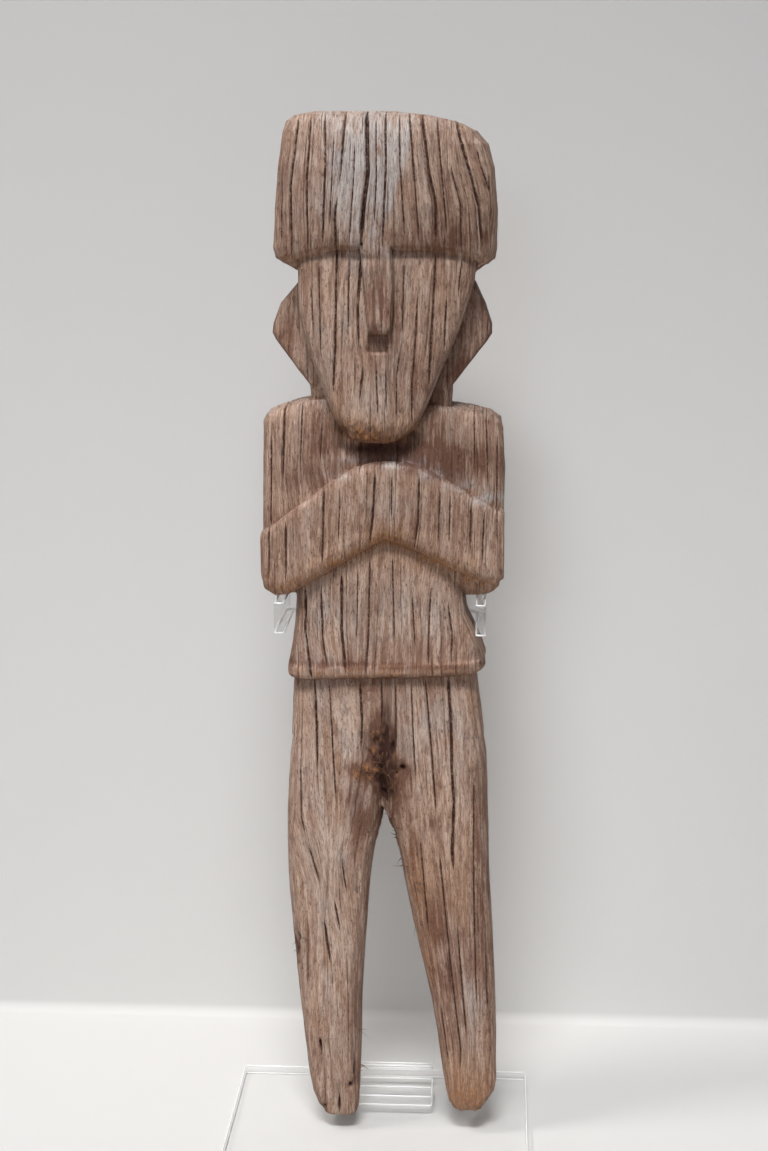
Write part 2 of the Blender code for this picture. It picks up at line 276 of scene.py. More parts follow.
# The grain lines of the headdress and the face, from left to right
HEAD_LANES = read_lanes(
    ((-46, 496, -47.5, 436), (438, 492, 0.7, 0.4)),
    ((-39, 496, -42.6, 466, -42.4, 436), (434, 498, 1.7)),
    ((-33, 497, -34.8, 466, -34.6, 438, -33.5, 419, -32.5, 395), (437, 499, 1.3),
     (398, 422, 0.8, 0.4)),
    ((-26.4, 498, -26, 476, -27.7, 438, -29.9, 430, -29.2, 391, -26, 370), (440, 500, 1.2),
     (388, 432, 0.9, 0.4)),
    ((-21.5, 498, -23, 470, -24.5, 440, -25.5, 400), (448, 490, 0.7, 0.35)),
    ((-16.8, 499, -18.8, 474, -21.6, 454, -21.4, 436, -22.2, 398, -23.4, 375), (468, 501, 1.7),
     (371, 462, 1.9, 0.6)),
    ((-12, 499, -13, 470, -15.6, 437, -16.1, 401), (440, 486, 0.7, 0.4), (398, 434, 0.8, 0.4)),
    ((-7.3, 500, -6.5, 472, -8.8, 455, -10.4, 433, -11.6, 412, -11.4, 395, -9.6, 381, -11.1, 367),
     (440, 502, 3.6, 1), (412, 446, 2, 0.7), (392, 416, 1.1, 0.5), (366, 384, 1.4, 0.5)),
    ((-3, 499, -2.6, 470, -4.4, 437, -3.4, 392, -2.4, 358), (450, 497, 0.8, 0.4),
     (360, 388, 0.8, 0.4)),
    ((1.3, 499, 1.7, 474, -0.2, 437, 1.2, 390, 1.6, 358), (438, 501, 1.5), (362, 386, 0.7, 0.35)),
    ((7.6, 499, 8.1, 476, 10.2, 444, 9.8, 432, 9, 401, 6.4, 380, 6.2, 357), (443, 500, 1.2, 0.45),
     (400, 433, 0.9, 0.4), (357, 392, 0.9, 0.4)),
    ((12.1, 499, 15, 466, 16.9, 440, 15.9, 415, 15, 395, 13.7, 376, 13.7, 358), (462, 500, 1.1),
     (440, 470, 0.8, 0.4), (357, 417, 1.5, 0.5)),
    ((18, 497, 21.3, 472, 24.5, 459, 24.6, 442, 23.3, 411, 22.4, 395, 21.6, 376),
     (440, 500, 2.2, 0.7), (374, 436, 1.8, 0.55)),
    ((24.8, 496, 29.1, 451, 29.9, 430, 28.5, 392), (444, 498, 1.3, 0.45), (391, 417, 1, 0.45)),
    ((31, 488, 31.3, 474, 35.9, 458, 36.3, 433, 34.8, 417), (434, 476, 1.3, 0.45),
     (416, 434, 1, 0.4)),
    ((33.5, 495, 37, 482, 40.8, 470, 44.1, 457, 45.6, 441), (438, 497, 2, 0.65)),
    ((42, 486, 45.3, 474, 50.2, 461, 51.5, 440), (452, 484, 1.5, 0.5)),
)


# The grain lines of the chest, the arms and the tunic
BODY_LANES = read_lanes(
    ((-54, 360, -55, 280), (282, 352, 0.8, 0.4)),
    ((-47.5, 364, -48.6, 329, -46.4, 308, -46.9, 281), (328, 366, 1.6), (280, 310, 1.7, 0.6)),
    ((-39, 364, -40.2, 333, -39.5, 300, -38.4, 275, -38.6, 254, -35.3, 232, -33.9, 226),
     (332, 366, 0.9, 0.4), (226, 276, 2.2, 0.7)),
    ((-29.5, 357, -30.6, 338, -28, 324, -29.1, 291, -30.5, 275, -29.9, 251, -27.5, 237),
     (336, 358, 0.8, 0.4), (288, 326, 1.4), (236, 276, 1.3, 0.5)),
    ((-20.4, 325, -21.4, 301, -20.5, 282, -20.6, 256, -18.3, 234), (300, 326, 0.9, 0.4),
     (234, 284, 2.1, 0.7)),
    ((-12, 330, -12.5, 290, -13.5, 235), (250, 286, 0.6, 0.35)),
    ((-3.8, 333, -4.8, 314, -6.2, 301, -6.8, 290, -7.6, 251, -8.6, 235), (299, 335, 1.8, 0.6),
     (234, 292, 1.2, 0.5)),
    ((4.2, 333, 3.8, 311, 4, 290, 5, 251), (310, 334, 0.9, 0.4), (250, 292, 0.8, 0.4)),
    ((17, 331, 16.6, 311, 14.7, 297, 13.5, 272, 15.1, 248), (296, 333, 1.6, 0.5),
     (246, 274, 1.2, 0.45)),
    ((26.9, 325, 26.1, 299, 22.5, 275, 21.8, 262, 21.5, 238), (298, 326, 1, 0.45),
     (238, 278, 1.2, 0.45)),
    ((31.7, 323, 31.3, 302, 30.9, 268, 33, 253, 32.5, 242), (300, 325, 0.9, 0.4),
     (240, 270, 1.5, 0.5)),
    ((42.5, 363, 43, 334, 41.6, 318, 41.3, 298), (334, 364, 0.9, 0.4), (296, 320, 1.6, 0.6)),
    ((48.2, 361, 49.5, 324, 47.8, 314, 47.1, 292), (324, 362, 1, 0.4), (290, 316, 1.1, 0.45)),
    ((53.6, 358, 54, 290), (300, 350, 0.7, 0.35)),
)


# The grain lines of the hips and the legs
LEG_LANES = read_lanes(
    ((-41, 230, -41.2, 189, -41.1, 160, -37.6, 146, -31.8, 126, -31.4, 96, -32.6, 42, -31.6, 34),
     (150, 190, 0.8, 0.4), (125, 147, 1.3, 0.45), (34, 44, 1.8, 0.6)),
    ((-34, 229, -33.2, 209, -32.8, 189, -31.4, 160, -28.2, 128, -29.9, 107, -28.5, 94, -27, 84,
      -26, 40, -22.9, 12, -22.8, 2), (186, 232, 2, 0.6), (83, 108, 2, 0.6), (1, 13, 2.2, 0.6)),
    ((-26.7, 226, -25.4, 201, -23.6, 170, -24, 140, -24.8, 117, -21.9, 101, -20, 60),
     (168, 228, 1.4, 0.45), (100, 118, 2, 0.55)),
    ((-11.6, 226, -10.7, 210, -11.5, 190, -16, 160, -21, 138, -18.6, 121, -15, 90),
     (194, 230, 2.2, 0.6), (120, 139, 1.1, 0.45)),
    ((-1.4, 231, -0.9, 215, -3, 190, -6, 165, -10, 130, -12, 80), (206, 233, 1.2, 0.5),
     (90, 150, 0.7, 0.35)),
    ((5.6, 232, 6, 200, 8, 165, 13, 125, 20, 84, 30, 30), (196, 230, 1.1, 0.45),
     (60, 100, 0.7, 0.35)),
    ((13, 230, 15, 190, 17.9, 149, 22, 102, 28, 64, 34, 20), (180, 230, 1, 0.4),
     (100, 150, 1.2, 0.5), (30, 64, 0.8, 0.35)),
    ((20, 232, 23.1, 198, 25.1, 171, 27.8, 139, 33, 87, 38.6, 39), (165, 232, 1.4, 0.5),
     (28, 142, 1.3, 0.45)),
    ((31.1, 231, 32.7, 210, 33.4, 184, 34.5, 168, 33.7, 144, 36.6, 103, 41.6, 44),
     (134, 233, 2.4, 0.75), (46, 106, 1.2, 0.45)),
    ((42.3, 228, 44.9, 209, 44, 181, 44.7, 119, 46.4, 66, 48, 20), (204, 230, 1.4, 0.5),
     (64, 182, 1, 0.4)),
    ((49, 220, 50, 130, 52, 60), (60, 170, 1, 0.45)),
)


def unseen_lanes(low: float, high: float, reach: float, step: float,
                 seed: int) -> tuple[Lane, ...]:
    """Return plain wandering grain lines for a side that the photograph doesn't show.

    Args:
        low: The lowest height, in units.
        high: The greatest height.
        reach: How far the lines run to either side of the middle.
        step: The mean distance between two lines.
        seed: Chooses where they wander.

    Returns:
        Lanes from left to right, some with cracks.
    """
    draw = np.random.default_rng(seed)
    drawn = []
    for start in np.arange(-reach, reach, step):
        across = start + draw.uniform(-0.25, 0.25) * step
        wander = np.cumsum(draw.uniform(-0.12, 0.12, 8)) * step
        heights = np.linspace(high, low, 8)
        route = tuple((across + w, h) for w, h in zip(wander, heights))
        cuts = []
        for _ in range(int(draw.integers(1, 4))):
            middle = draw.uniform(low, high)
            half = draw.uniform(10.0, 34.0)
            depth = draw.uniform(0.8, 2.0)
            cuts.append(Cut(middle - half, middle + half, depth, draw.uniform(0.4, 0.6)))
        drawn.append(Lane(route, tuple(cuts)))
    return tuple(drawn)


@dataclass
class GrainSample:
    """What a grain map says at each place, as arrays of the same length."""

    lane: np.ndarray
    flow: np.ndarray
    spacing: np.ndarray
    distance: np.ndarray
    depth: np.ndarray
    half_width: np.ndarray

    def take_from(self, other: "GrainSample", chosen: np.ndarray) -> None:
        """Copy the other sample's values to the chosen places."""
        for name in vars(self):
            getattr(self, name)[chosen] = getattr(other, name)[chosen]


class GrainMap:
    """A side's grain: a lane number and a flow across it that follow the grain lines."""

    HEIGHT_STEP = 2.0
    TAPER = 7.0
    EDGE = 90.0
    LEAST_GAP = 1.5

    def __init__(self, lanes: tuple[Lane, ...], low: float, high: float) -> None:
        """Tabulate where each lane is, and how deep its crack is, at steps of height.

        Args:
            lanes: The lanes from left to right.
            low: The lowest height of the table, in units.
            high: The greatest height.
        """
        self.low = low
        self.heights = np.arange(low, high + self.HEIGHT_STEP, self.HEIGHT_STEP)
        full = (Lane(((-self.EDGE, 0.0),)), *lanes, Lane(((self.EDGE, 0.0),)))
        across = []
        depth = []
        width = []
        for lane in full:
            points = sorted(lane.route, key=lambda point: point[1])
            across.append(np.interp(self.heights, [p[1] for p in points], [p[0] for p in points]))
            strength = [self.cut_strength(cut) for cut in lane.cuts] or [0.0 * self.heights]
            depths = [s * cut.depth for s, cut in zip(strength, lane.cuts)] or strength
            widths = [s ** 0.5 * cut.half_width for s, cut in zip(strength, lane.cuts)] or strength
            depth.append(np.max(depths, axis=0))
            width.append(np.max(widths, axis=0))
        order = np.arange(len(full))[:, None] * self.LEAST_GAP
        self.across = np.maximum.accumulate(np.stack(across) - order, axis=0) + order
        self.depth = np.stack(depth)
        self.width = np.stack(width)
        self.flow = self.across.mean(axis=1)

    def cut_strength(self, cut: Cut) -> np.ndarray:
        """Return a crack's strength at each height, which tapers to 0 at both ends."""
        inside = np.minimum(self.heights - cut.low, cut.high - self.heights)
        return smooth_step(0.0, min(self.TAPER, (cut.high - cut.low) / 2.5), inside)

    def sample(self, across: np.ndarray, height: np.ndarray) -> GrainSample:
        """Look up lane, flow and the nearest crack at each place.

        Between two lanes, the lane number and the flow grow evenly with the distance, so a
        crack is where the lane number is whole.

        Args:
            across: Distances across the side, in units.
            height: Heights above the lowest foot, in units.

        Returns:
            The values at each place.
        """
        step = np.clip((height - self.low) / self.HEIGHT_STEP, 0.0, len(self.heights) - 1.001)
        row = step.astype(int)
        share = step - row

        def at_height(table: np.ndarray) -> np.ndarray:
            """Return the table's values between its two nearest rows."""
            return table[:, row] * (1.0 - share) + table[:, row + 1] * share

        lines = at_height(self.across)
        last = len(lines) - 2
        index = np.clip((lines <= across).sum(axis=0) - 1, 0, last)
        item = np.arange(len(across))
        left = lines[index, item]
        right = lines[index + 1, item]
        part = np.clip((across - left) / (right - left), 0.0, 1.0)
        near = index + (part > 0.5)
        flow = self.flow[index] * (1.0 - part) + self.flow[index + 1] * part
        return GrainSample(
            lane=index + part,
            flow=flow,
            spacing=right - left,
            distance=np.abs(across - lines[near, item]),
            depth=at_height(self.depth)[near, item],
            half_width=at_height(self.width)[near, item],
        )


# Worn places, stains, painted highlights and painted shade


@dataclass(frozen=True)
class Spot:
    """A soft oval on the front, with its half sizes and strength, all in units."""

    across: float
    height: float
    half_across: float
    half_up: float
    strength: float

    def cover(self, across: np.ndarray, height: np.ndarray) -> np.ndarray:
        """Return the strength times e to minus the squared distance in half sizes.

        Args:
            across: Where the places are across the front.
            height: Their heights.

        Returns:
            The spot's strength at each place.
        """
        square = ((across - self.across) / self.half_across) ** 2
        square += ((height - self.height) / self.half_up) ** 2
        return self.strength * np.exp(-square)


def read_spots(*rows: tuple[float, float, float, float, float]) -> tuple[Spot, ...]:
    """Return a spot for each row of its five numbers."""
    return tuple(Spot(*row) for row in rows)


# Holes and notches, whose strength is their depth
PITS = read_spots(
    (-0.8, 181, 1.2, 5.5, 4.4), (0, 172, 1.4, 6, 4.6), (1.2, 204, 1.6, 6, 2),
    (4.6, 197, 0.9, 3.4, 2.6), (-7.2, 195, 1.4, 2, 1.8), (-4, 200, 1.2, 3, 1.8),
    (-15.4, 184.5, 1.8, 1.6, 0.7), (9, 186.4, 1.2, 1.3, 3.6), (6, 184, 1.4, 1.2, 2),
    (-44.6, 89, 2.2, 5, 2.2), (-43, 96, 0.9, 1.6, 3), (-44, 81.5, 1.3, 1.2, 1.6),
    (-32.2, 39, 0.6, 3.2, 2.4), (-16.6, 17.5, 1.2, 1.5, 3.4), (-14.4, 26, 1.2, 8, 1.8),
    (-30.6, 5.4, 1.4, 1.2, 2.4), (-22.8, 7, 0.5, 6, 1.8), (26, 158, 3.4, 3.4, 0.5),
    (-8, 433.4, 8, 1.6, 1.2), (-2.2, 398.8, 5, 0.8, 0.3), (-2.2, 390.4, 4.6, 0.6, 0.8),
    (-4, 343.5, 17, 3.2, 3), (14, 349, 6, 5, 2), (-20, 352, 4, 5, 1.6),
)

# Crumbs of dried mud that stand proud, whose strength is their height
CRUMBS = read_spots(
    (-2, 194, 6.5, 12, 1.9), (4, 176, 4, 8, 1.2), (-8, 183, 5, 4, 1.1), (-14, 354, 8, 5, 1.1),
    (0, 351, 13, 4, 1.1), (44, 8, 13, 8, 0.9), (18, 122, 3, 12, 0.7), (36, 128, 4, 5, 0.5),
    (-50, 277, 6, 3, 0.5), (-26, 235, 18, 2.6, 0.5), (22, 236, 22, 2.6, 0.5),
)

# Nearly black soil that fills the deepest decay, with the painted shade of its holes
SOIL_AND_HOLE_SHADE = read_spots(
    (0, 196, 5.4, 13, 1.5), (-0.2, 174, 4.6, 12, 1.6), (-8, 184, 5, 3, 0.6),
    (8, 186, 4.5, 2.5, 0.7), (0.6, 213, 1.8, 8, 0.6), (-13, 172, 3, 8, 0.4),
    (-2, 355, 14, 2, 0.35), (-14.5, 22, 1.8, 9, 0.7), (-30.6, 5, 2.2, 2, 0.8),
    (-44, 92, 2, 8, 0.7), (4.5, 411, 1.6, 12, 0.35),
)

# Dark reddish brown, left where the surface wasn't worn pale; the spots on the ears and on
# the chest under the chin also paint shade
STAINS_AND_SHADE = read_spots(
    (-26, 439, 16, 4.5, 0.3), (27, 443, 20, 7, 1.2), (46, 450, 6, 12, 0.6),
    (20, 460, 14, 14, 0.45), (-47, 398, 8, 14, 0.55), (46, 399, 8, 18, 1), (36, 380, 8, 12, 0.8),
    (14, 418, 5, 12, 0.35), (-30, 385, 4, 12, 0.3), (-31, 356, 7, 14, 0.6), (27, 352, 8, 16, 0.7),
    (-38, 330, 16, 7, 0.9), (38, 338, 17, 9, 1.5), (0, 342, 26, 6, 1.8), (-50, 300, 9, 16, 0.25),
    (14, 312, 30, 14, 0.35), (-4, 247, 7, 11, 0.6), (16, 246, 9, 6, 0.4), (32, 250, 6, 10, 0.35),
    (-30, 238, 12, 4, 0.45), (-18, 227, 26, 5, 0.6), (20, 230, 26, 4, 0.45),
    (0, 238.2, 70, 1.8, 1), (-10, 268, 12, 6, 0.4), (-40, 458, 9, 24, 0.35), (12, 384, 8, 7, 0.4),
    (-1, 194, 8.5, 16, 2.6), (2, 172, 8, 13, 2.2), (-10, 184, 8, 5, 1.6), (8, 185, 6, 3, 1.4),
    (0, 212, 3, 9, 1), (-12, 160, 6, 16, 0.9), (-17, 172, 3, 8, 0.8), (24, 158, 4, 4, 1),
    (14, 140, 4, 14, 0.9), (-2, 412, 4.4, 16, 1.5), (4.5, 398, 3, 26, 0.5), (-2, 396, 4, 3, 0.5),
    (-10, 352, 12, 3, 0.9), (18, 340, 14, 7, 0.9), (-24, 345, 10, 9, 0.6), (26, 118, 10, 26, 0.6),
    (29, 88, 8, 22, 1.2), (48, 140, 5, 50, 0.6), (44, 90, 6, 22, 0.4), (34, 50, 6, 22, 0.45),
    (-14, 60, 4, 22, 0.5), (-40, 92, 5, 14, 0.5), (-44, 280, 10, 7, 0.25), (-26, 28, 18, 36, 0.32),
    (42, 44, 16, 40, 0.22), (4, 308, 40, 11, 0.3), (0, 386, 26, 26, 0.25), (0, 245, 32, 8, 0.25),
)

# Tan and orange silt that settled low on each form
SILTS = read_spots(
    (-14, 354, 8, 5.5, 1), (-2, 350, 13, 4.5, 0.7), (12, 356, 6, 6, 0.55), (-22, 366, 4, 8, 0.4),
    (44, 12, 14, 12, 1), (36, 30, 9, 14, 0.4), (17, 128, 7, 18, 0.6), (36, 124, 8, 18, 0.35),
    (20, 84, 5, 16, 0.7), (-12, 183, 6, 4, 0.6), (-20, 290, 24, 4, 0.35), (2, 303, 10, 5, 0.8),
    (28, 290, 24, 4, 0.45), (-52, 276, 10, 5, 0.6), (-42, 279.5, 7, 3.4, 0.7),
    (-32, 284, 7, 3.4, 0.7), (-22, 289.5, 7, 3.2, 0.7), (-12, 295, 7, 3.2, 0.8),
    (0.5, 300.5, 8, 3.4, 1), (12, 296, 7, 3.2, 0.8), (22, 290.5, 7, 3.2, 0.8),
    (32, 285.5, 7, 3.4, 0.8), (42, 281, 7, 3.4, 0.8), (52, 277, 7, 3.4, 0.7),
    (-40, 431, 8, 5, 0.4), (0, 234, 50, 3, 0.35), (40, 222, 10, 10, 0.3),
)

# Silvery places that wear has bleached; on the headdress's middle, the left thigh and the
# arms' top bevel they also paint highlights
BLEACHES_AND_HIGHLIGHTS = read_spots(
    (-8, 476, 20, 24, 1.4), (-5, 450, 12, 18, 1.3), (6, 486, 12, 16, 1.2), (0, 445, 5, 9, 0.9),
    (-38, 462, 12, 26, 0.1), (-22, 400, 12, 26, 0.35), (2, 376, 18, 14, 0.3),
    (-26, 150, 16, 60, 0.3), (-28, 56, 12, 50, 0.25), (16, 205, 12, 18, 0.6),
    (-24, 200, 14, 22, 0.4), (36, 205, 10, 26, 0.35), (10, 262, 30, 16, 0.3), (44, 66, 6, 26, 0.6),
    (-26, 258, 14, 20, 0.45), (10, 318, 30, 6, 0.25), (-26, 330.5, 12, 1.6, 0.6),
    (-6, 338, 16, 1.8, 0.8), (12, 337, 9, 1.8, 1.4), (26, 332, 9, 1.9, 1.6),
    (38, 326.5, 8, 1.9, 1.6), (50, 320, 8, 1.9, 1.4),
)


# Places where the whole surface is worn back or built up, whatever side it faces
ARCH = Spot(0.6, 151.0, 9.0, 13.0, 1.5)
HEEL = Spot(57.0, 4.0, 6.0, 7.0, 2.2)
TOE = Spot(33.0, 3.0, 3.0, 4.0, 0.8)


# Finishes


@dataclass(frozen=True)
class WeatheredWood:
    """Old dry hardwood, carved, buried and cracked along its grain.

    Weather has raised pale fibres between dark checks, so the surface is matt, streaked along
    the grain and darker wherever dirt can lodge, with painted shade in its holes and recesses.
    Its pale worn places carry painted highlights as well.
    """

    name: str = "weathered hardwood"
    pale: str = "c6a892"
    middle: str = "a68570"
    dark: str = "6b4938"
    stain_and_shade: str = "5e3828"
    silt: str = "a9723f"
    silvery_wear_and_highlight: str = "c4bebb"
    crack: str = "44271c"
    soil_and_shade: str = "3d2014"
    roughness: float = 0.80
    sheen_roughness: float = 0.36
    specular: float = 0.4
    # Growth streaks are about 1.2 mm wide and 18 mm long
    streak_size: tuple[float, float] = (1.2 * MM, 18.0 * MM)
    # Real fibres and pores are finer than the render shows, so these are drawn coarser
    fibre_size: tuple[float, float] = (0.5 * MM, 6.0 * MM)
    pore_size: tuple[float, float] = (0.55 * MM, 2.2 * MM)
    blotch_size: tuple[float, float] = (13.0 * MM, 26.0 * MM)
    patch_size: tuple[float, float] = (2.6 * MM, 8.0 * MM)
    speck_size: tuple[float, float] = (0.9 * MM, 1.6 * MM)
    # Raised fibres stand about half a millimetre above the pores
    relief: float = 0.6 * MM

    def make(self) -> bpy.types.Material:
        """Build the material from the piece's grain attributes.

        Returns:
            The finished material.
        """
        material, tree, shader = new_material(self.name)
        grain = add_node(tree, "ShaderNodeAttribute", {"attribute_name": "grain_place"})
        place = grain.outputs["Vector"]

        def attribute(name: str) -> bpy.types.NodeSocket:
            """Return a stored value of the piece."""
            return add_node(tree, "ShaderNodeAttribute", {"attribute_name": name}).outputs["Fac"]

        def maths(operation: str, first: Feed, second: Feed = 0.0,
                  clamp: bool = False) -> bpy.types.NodeSocket:
            """Return a sum, product or other operation on two values."""
            settings = {"operation": operation, "use_clamp": clamp}
            return add_node(tree, "ShaderNodeMath", settings, i0=first, i1=second).outputs[0]

        def noise(size: tuple[float, float], detail: float, seed: float) -> bpy.types.NodeSocket:
            """Add noise that is drawn out along the grain.

            Args:
                size: The width and the length of its spots.
                detail: How many finer layers it has.
                seed: Moves it to another part of the pattern.

            Returns:
                The noise, from 0 to 1.
            """
            across, along = 1.0 / size[0], 1.0 / size[1]
            spot = add_node(tree, "ShaderNodeMapping", Vector=place, Scale=(across, across, along),
                            Location=(seed, seed * 0.7, seed * 0.3)).outputs[0]
            return add_node(tree, "ShaderNodeTexNoise", Vector=spot, Scale=1.0, Detail=detail,
                            Roughness=0.6).outputs["Fac"]

        def mix(share: Feed, first: Feed, second: Feed) -> bpy.types.NodeSocket:
            """Return the second colour laid over the first by the share."""
            return add_node(tree, "ShaderNodeMix", {"data_type": "RGBA"}, i0=share, i6=first,
                            i7=second).outputs[2]

        def band(value: Feed, low: float, high: float, most: float = 1.0) -> bpy.types.NodeSocket:
            """Return a smooth step from nought at low to the most at high."""
            settings = {"interpolation_type": "SMOOTHSTEP"}
            return add_node(tree, "ShaderNodeMapRange", settings, Value=value, From_Min=low,
                            From_Max=high, To_Max=most).outputs[0]

        def line(lane: str, split: str) -> bpy.types.NodeSocket:
            """Add lines where a lane number is whole.

            Args:
                lane: The attribute with the lane number.
                split: The attribute with the line's half width, as a share of the spacing.

            Returns:
                One in the middle of a line, and nought outside it.
            """
            shifted = maths("FRACT", maths("ADD", attribute(lane), 0.5))
            offset = maths("ABSOLUTE", maths("SUBTRACT", shifted, 0.5))
            width = maths("MAXIMUM", attribute(split), 0.0001)
            return maths("SUBTRACT", 1.0, maths("DIVIDE", offset, width), clamp=True)

        streak = noise(self.streak_size, 3.0, 3.1)
        fibre = noise(self.fibre_size, 3.0, 8.7)
        pore = noise(self.pore_size, 2.0, 23.9)
        blotch = noise(self.blotch_size, 3.0, 17.3)
        patch = noise(self.patch_size, 4.0, 57.1)
        speck = noise(self.speck_size, 2.0, 41.9)

        # Wear with painted highlight, stain with painted shade, and silt follow the growth of the
        # wood, and cracks are broken by crumbs
        uneven = maths("ADD", maths("MULTIPLY", blotch, 0.7), maths("MULTIPLY", streak, 0.5))
        bleach_and_highlight = maths("MULTIPLY", attribute("bleach_and_highlight"), band(uneven, 0.42, 0.72), clamp=True)
        stain_and_shade = maths("MULTIPLY", attribute("stain_and_shade"), band(uneven, 0.84, 0.50), clamp=True)
        silt = maths("MULTIPLY", attribute("silt"), band(speck, 0.34, 0.62), clamp=True)
        broken = maths("ADD", band(speck, 0.66, 0.40, 0.55), 0.45)
        check = maths("MULTIPLY", band(line("check_lane", "check_split"), 0.05, 0.8, 0.62), broken)
        split = maths("MULTIPLY", band(line("lane", "split"), 0.05, 0.5),
                      maths("ADD", broken, 0.15), clamp=True)
        colour = linear(self.middle)
        for share, tint in (
            (band(streak, 0.36, 0.64), self.pale),
            (band(blotch, 0.48, 0.68, 0.30), self.dark),
            (band(patch, 0.52, 0.62, 0.46), self.stain_and_shade),
            # Bleached wear, with painted highlights
            (maths("MULTIPLY", bleach_and_highlight, 0.80), self.silvery_wear_and_highlight),
            # Stains, with painted shade
            (maths("MULTIPLY", stain_and_shade, 0.85), self.stain_and_shade),
            (maths("MULTIPLY", silt, 0.8), self.silt),
            (band(fibre, 0.54, 0.38, 0.42), self.dark),
            (band(pore, 0.45, 0.31, 0.60), self.soil_and_shade),
            (band(speck, 0.60, 0.76, 0.25), self.pale),
            (check, self.crack),
            (split, self.crack),
            # Dirt, with painted shade in holes, creases and recesses
            (maths("MULTIPLY", attribute("dirt_and_shade"), 0.94, clamp=True), self.soil_and_shade),
        ):
            colour = mix(share, colour, linear(tint))

        height = maths("ADD", maths("MULTIPLY", fibre, 0.6), maths("MULTIPLY", streak, 0.7))
        height = maths("ADD", height, maths("MULTIPLY", pore, 0.5))
        height = maths("SUBTRACT", height, maths("MULTIPLY", check, 1.1))
        bump = add_node(tree, "ShaderNodeBump", Strength=0.9, Distance=self.relief, Height=height)
        rough = add_node(tree, "ShaderNodeMapRange", Value=bleach_and_highlight, To_Min=self.roughness,
                         To_Max=self.sheen_roughness).outputs[0]
        feed(shader, Base_Color=colour, Normal=bump.outputs[0], Roughness=rough,
             Specular_IOR_Level=self.specular)
        return material


@dataclass(frozen=True)
class ClearAcrylic:
    """Cast acrylic sheet, sawn and flame polished, so it is clear. Nearly opaque and white, it
    also paints the edges' highlights and the bubbles' reflections.
    """

    name: str = "clear cast acrylic"
    colour: str = "fbfdfd"
    roughness: float = 0.03
    ior: float = 1.49
    alpha: float = 0.12
    transmission: float = 1.0

    def make(self) -> bpy.types.Material:
        """Build the material, with every value plain on the shader.

        Returns:
            The finished material.
        """
        material, _, shader = new_material(self.name)
        feed(shader, Base_Color=linear(self.colour), Roughness=self.roughness, IOR=self.ior,
             Transmission_Weight=self.transmission, Alpha=self.alpha)
        return material


@dataclass(frozen=True)
class DryFibre:
    """Torn fibres and roots, dry and dull, with a tone that changes along them."""

    name: str = "dry torn fibre"
    pale: str = "8f6c4a"
    dark: str = "5e3b28"
    roughness: float = 0.85
    tone_length: float = 3.0 * MM

    def make(self) -> bpy.types.Material:
        """Build the material from slow noise on object coordinates.

        Returns:
            The finished material.
        """
        material, tree, shader = new_material(self.name)
        place = add_node(tree, "ShaderNodeTexCoord").outputs["Object"]
        tone = add_node(tree, "ShaderNodeTexNoise", Vector=place, Scale=1.0 / self.tone_length)
        mixed = add_node(tree, "ShaderNodeMix", {"data_type": "RGBA"}, i0=tone.outputs["Fac"],
                         i6=linear(self.dark), i7=linear(self.pale))
        feed(shader, Base_Color=mixed.outputs[2], Roughness=self.roughness)
        return material


@dataclass(frozen=True)
class StudioPaint:
    """Matt emulsion on a board, as the plain surroundings, that is clear from its far side."""

    name: str
    colour: str
    roughness: float = 0.9

    def make(self) -> bpy.types.Material:
        """Build the matt material, and let views from behind the board pass through it.

        Returns:
            The finished material.
        """
        material, tree, shader = new_material(self.name)
        feed(shader, Base_Color=linear(self.colour), Roughness=self.roughness)
        far_side = add_node(tree, "ShaderNodeNewGeometry").outputs["Backfacing"]
        clear = add_node(tree, "ShaderNodeBsdfTransparent").outputs[0]
        either = add_node(tree, "ShaderNodeMixShader", i0=far_side, i1=shader.outputs[0], i2=clear)
        feed(tree.nodes["Material Output"], Surface=either.outputs[0])
        return material


# Pieces


def read(items: bpy.types.bpy_prop_collection, name: str) -> np.ndarray:
    """Read one property of all the items.

    Args:
        items: A mesh's vertices or an attribute's data.
        name: The property, which is a number if it is called value, or else a vector.

    Returns:
        N values or an N by 3 array.
    """
    size = 1 if name == "value" else 3
    values = np.empty(len(items) * size)
    items.foreach_get(name, values)
    return values if size == 1 else values.reshape(-1, 3)


def store(mesh: bpy.types.Mesh, name: str, values: np.ndarray) -> None:
    """Store a number or a vector for each vertex of the mesh."""
    kind, key = ("FLOAT", "value") if values.ndim == 1 else ("FLOAT_VECTOR", "vector")
    mesh.attributes.new(name, kind, "POINT").data.foreach_set(key, values.ravel())


def add_object(name: str, data: bpy.types.ID) -> bpy.types.Object:
    """Return a new object of the data, linked to the scene."""
    item = bpy.data.objects.new(name, data)
    bpy.context.scene.collection.objects.link(item)
    return item


def evaluated_mesh(item: bpy.types.Object) -> bpy.types.Mesh:
    """Apply an object's modifiers.

    Args:
        item: The object, which stays as it is.

    Returns:
        A new mesh.
    """
    bpy.context.view_layer.update()
    graph = bpy.context.evaluated_depsgraph_get()
    return bpy.data.meshes.new_from_object(item.evaluated_get(graph))


def add_piece(name: str, mesh: bpy.types.Mesh, material: bpy.types.Material) -> bpy.types.Object:
    """Put a finished mesh into the scene as a piece that rides on the body.

    Args:
        name: The piece's name.
        mesh: The mesh, in world places.
        material: Its only material.

    Returns:
        The new object.
    """
    item = add_object(name, mesh)
    mesh.materials.clear()
    mesh.materials.append(material)
    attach(item, BODY)
    LOG.info("piece %s has %d faces", name, len(mesh.polygons))
    return item


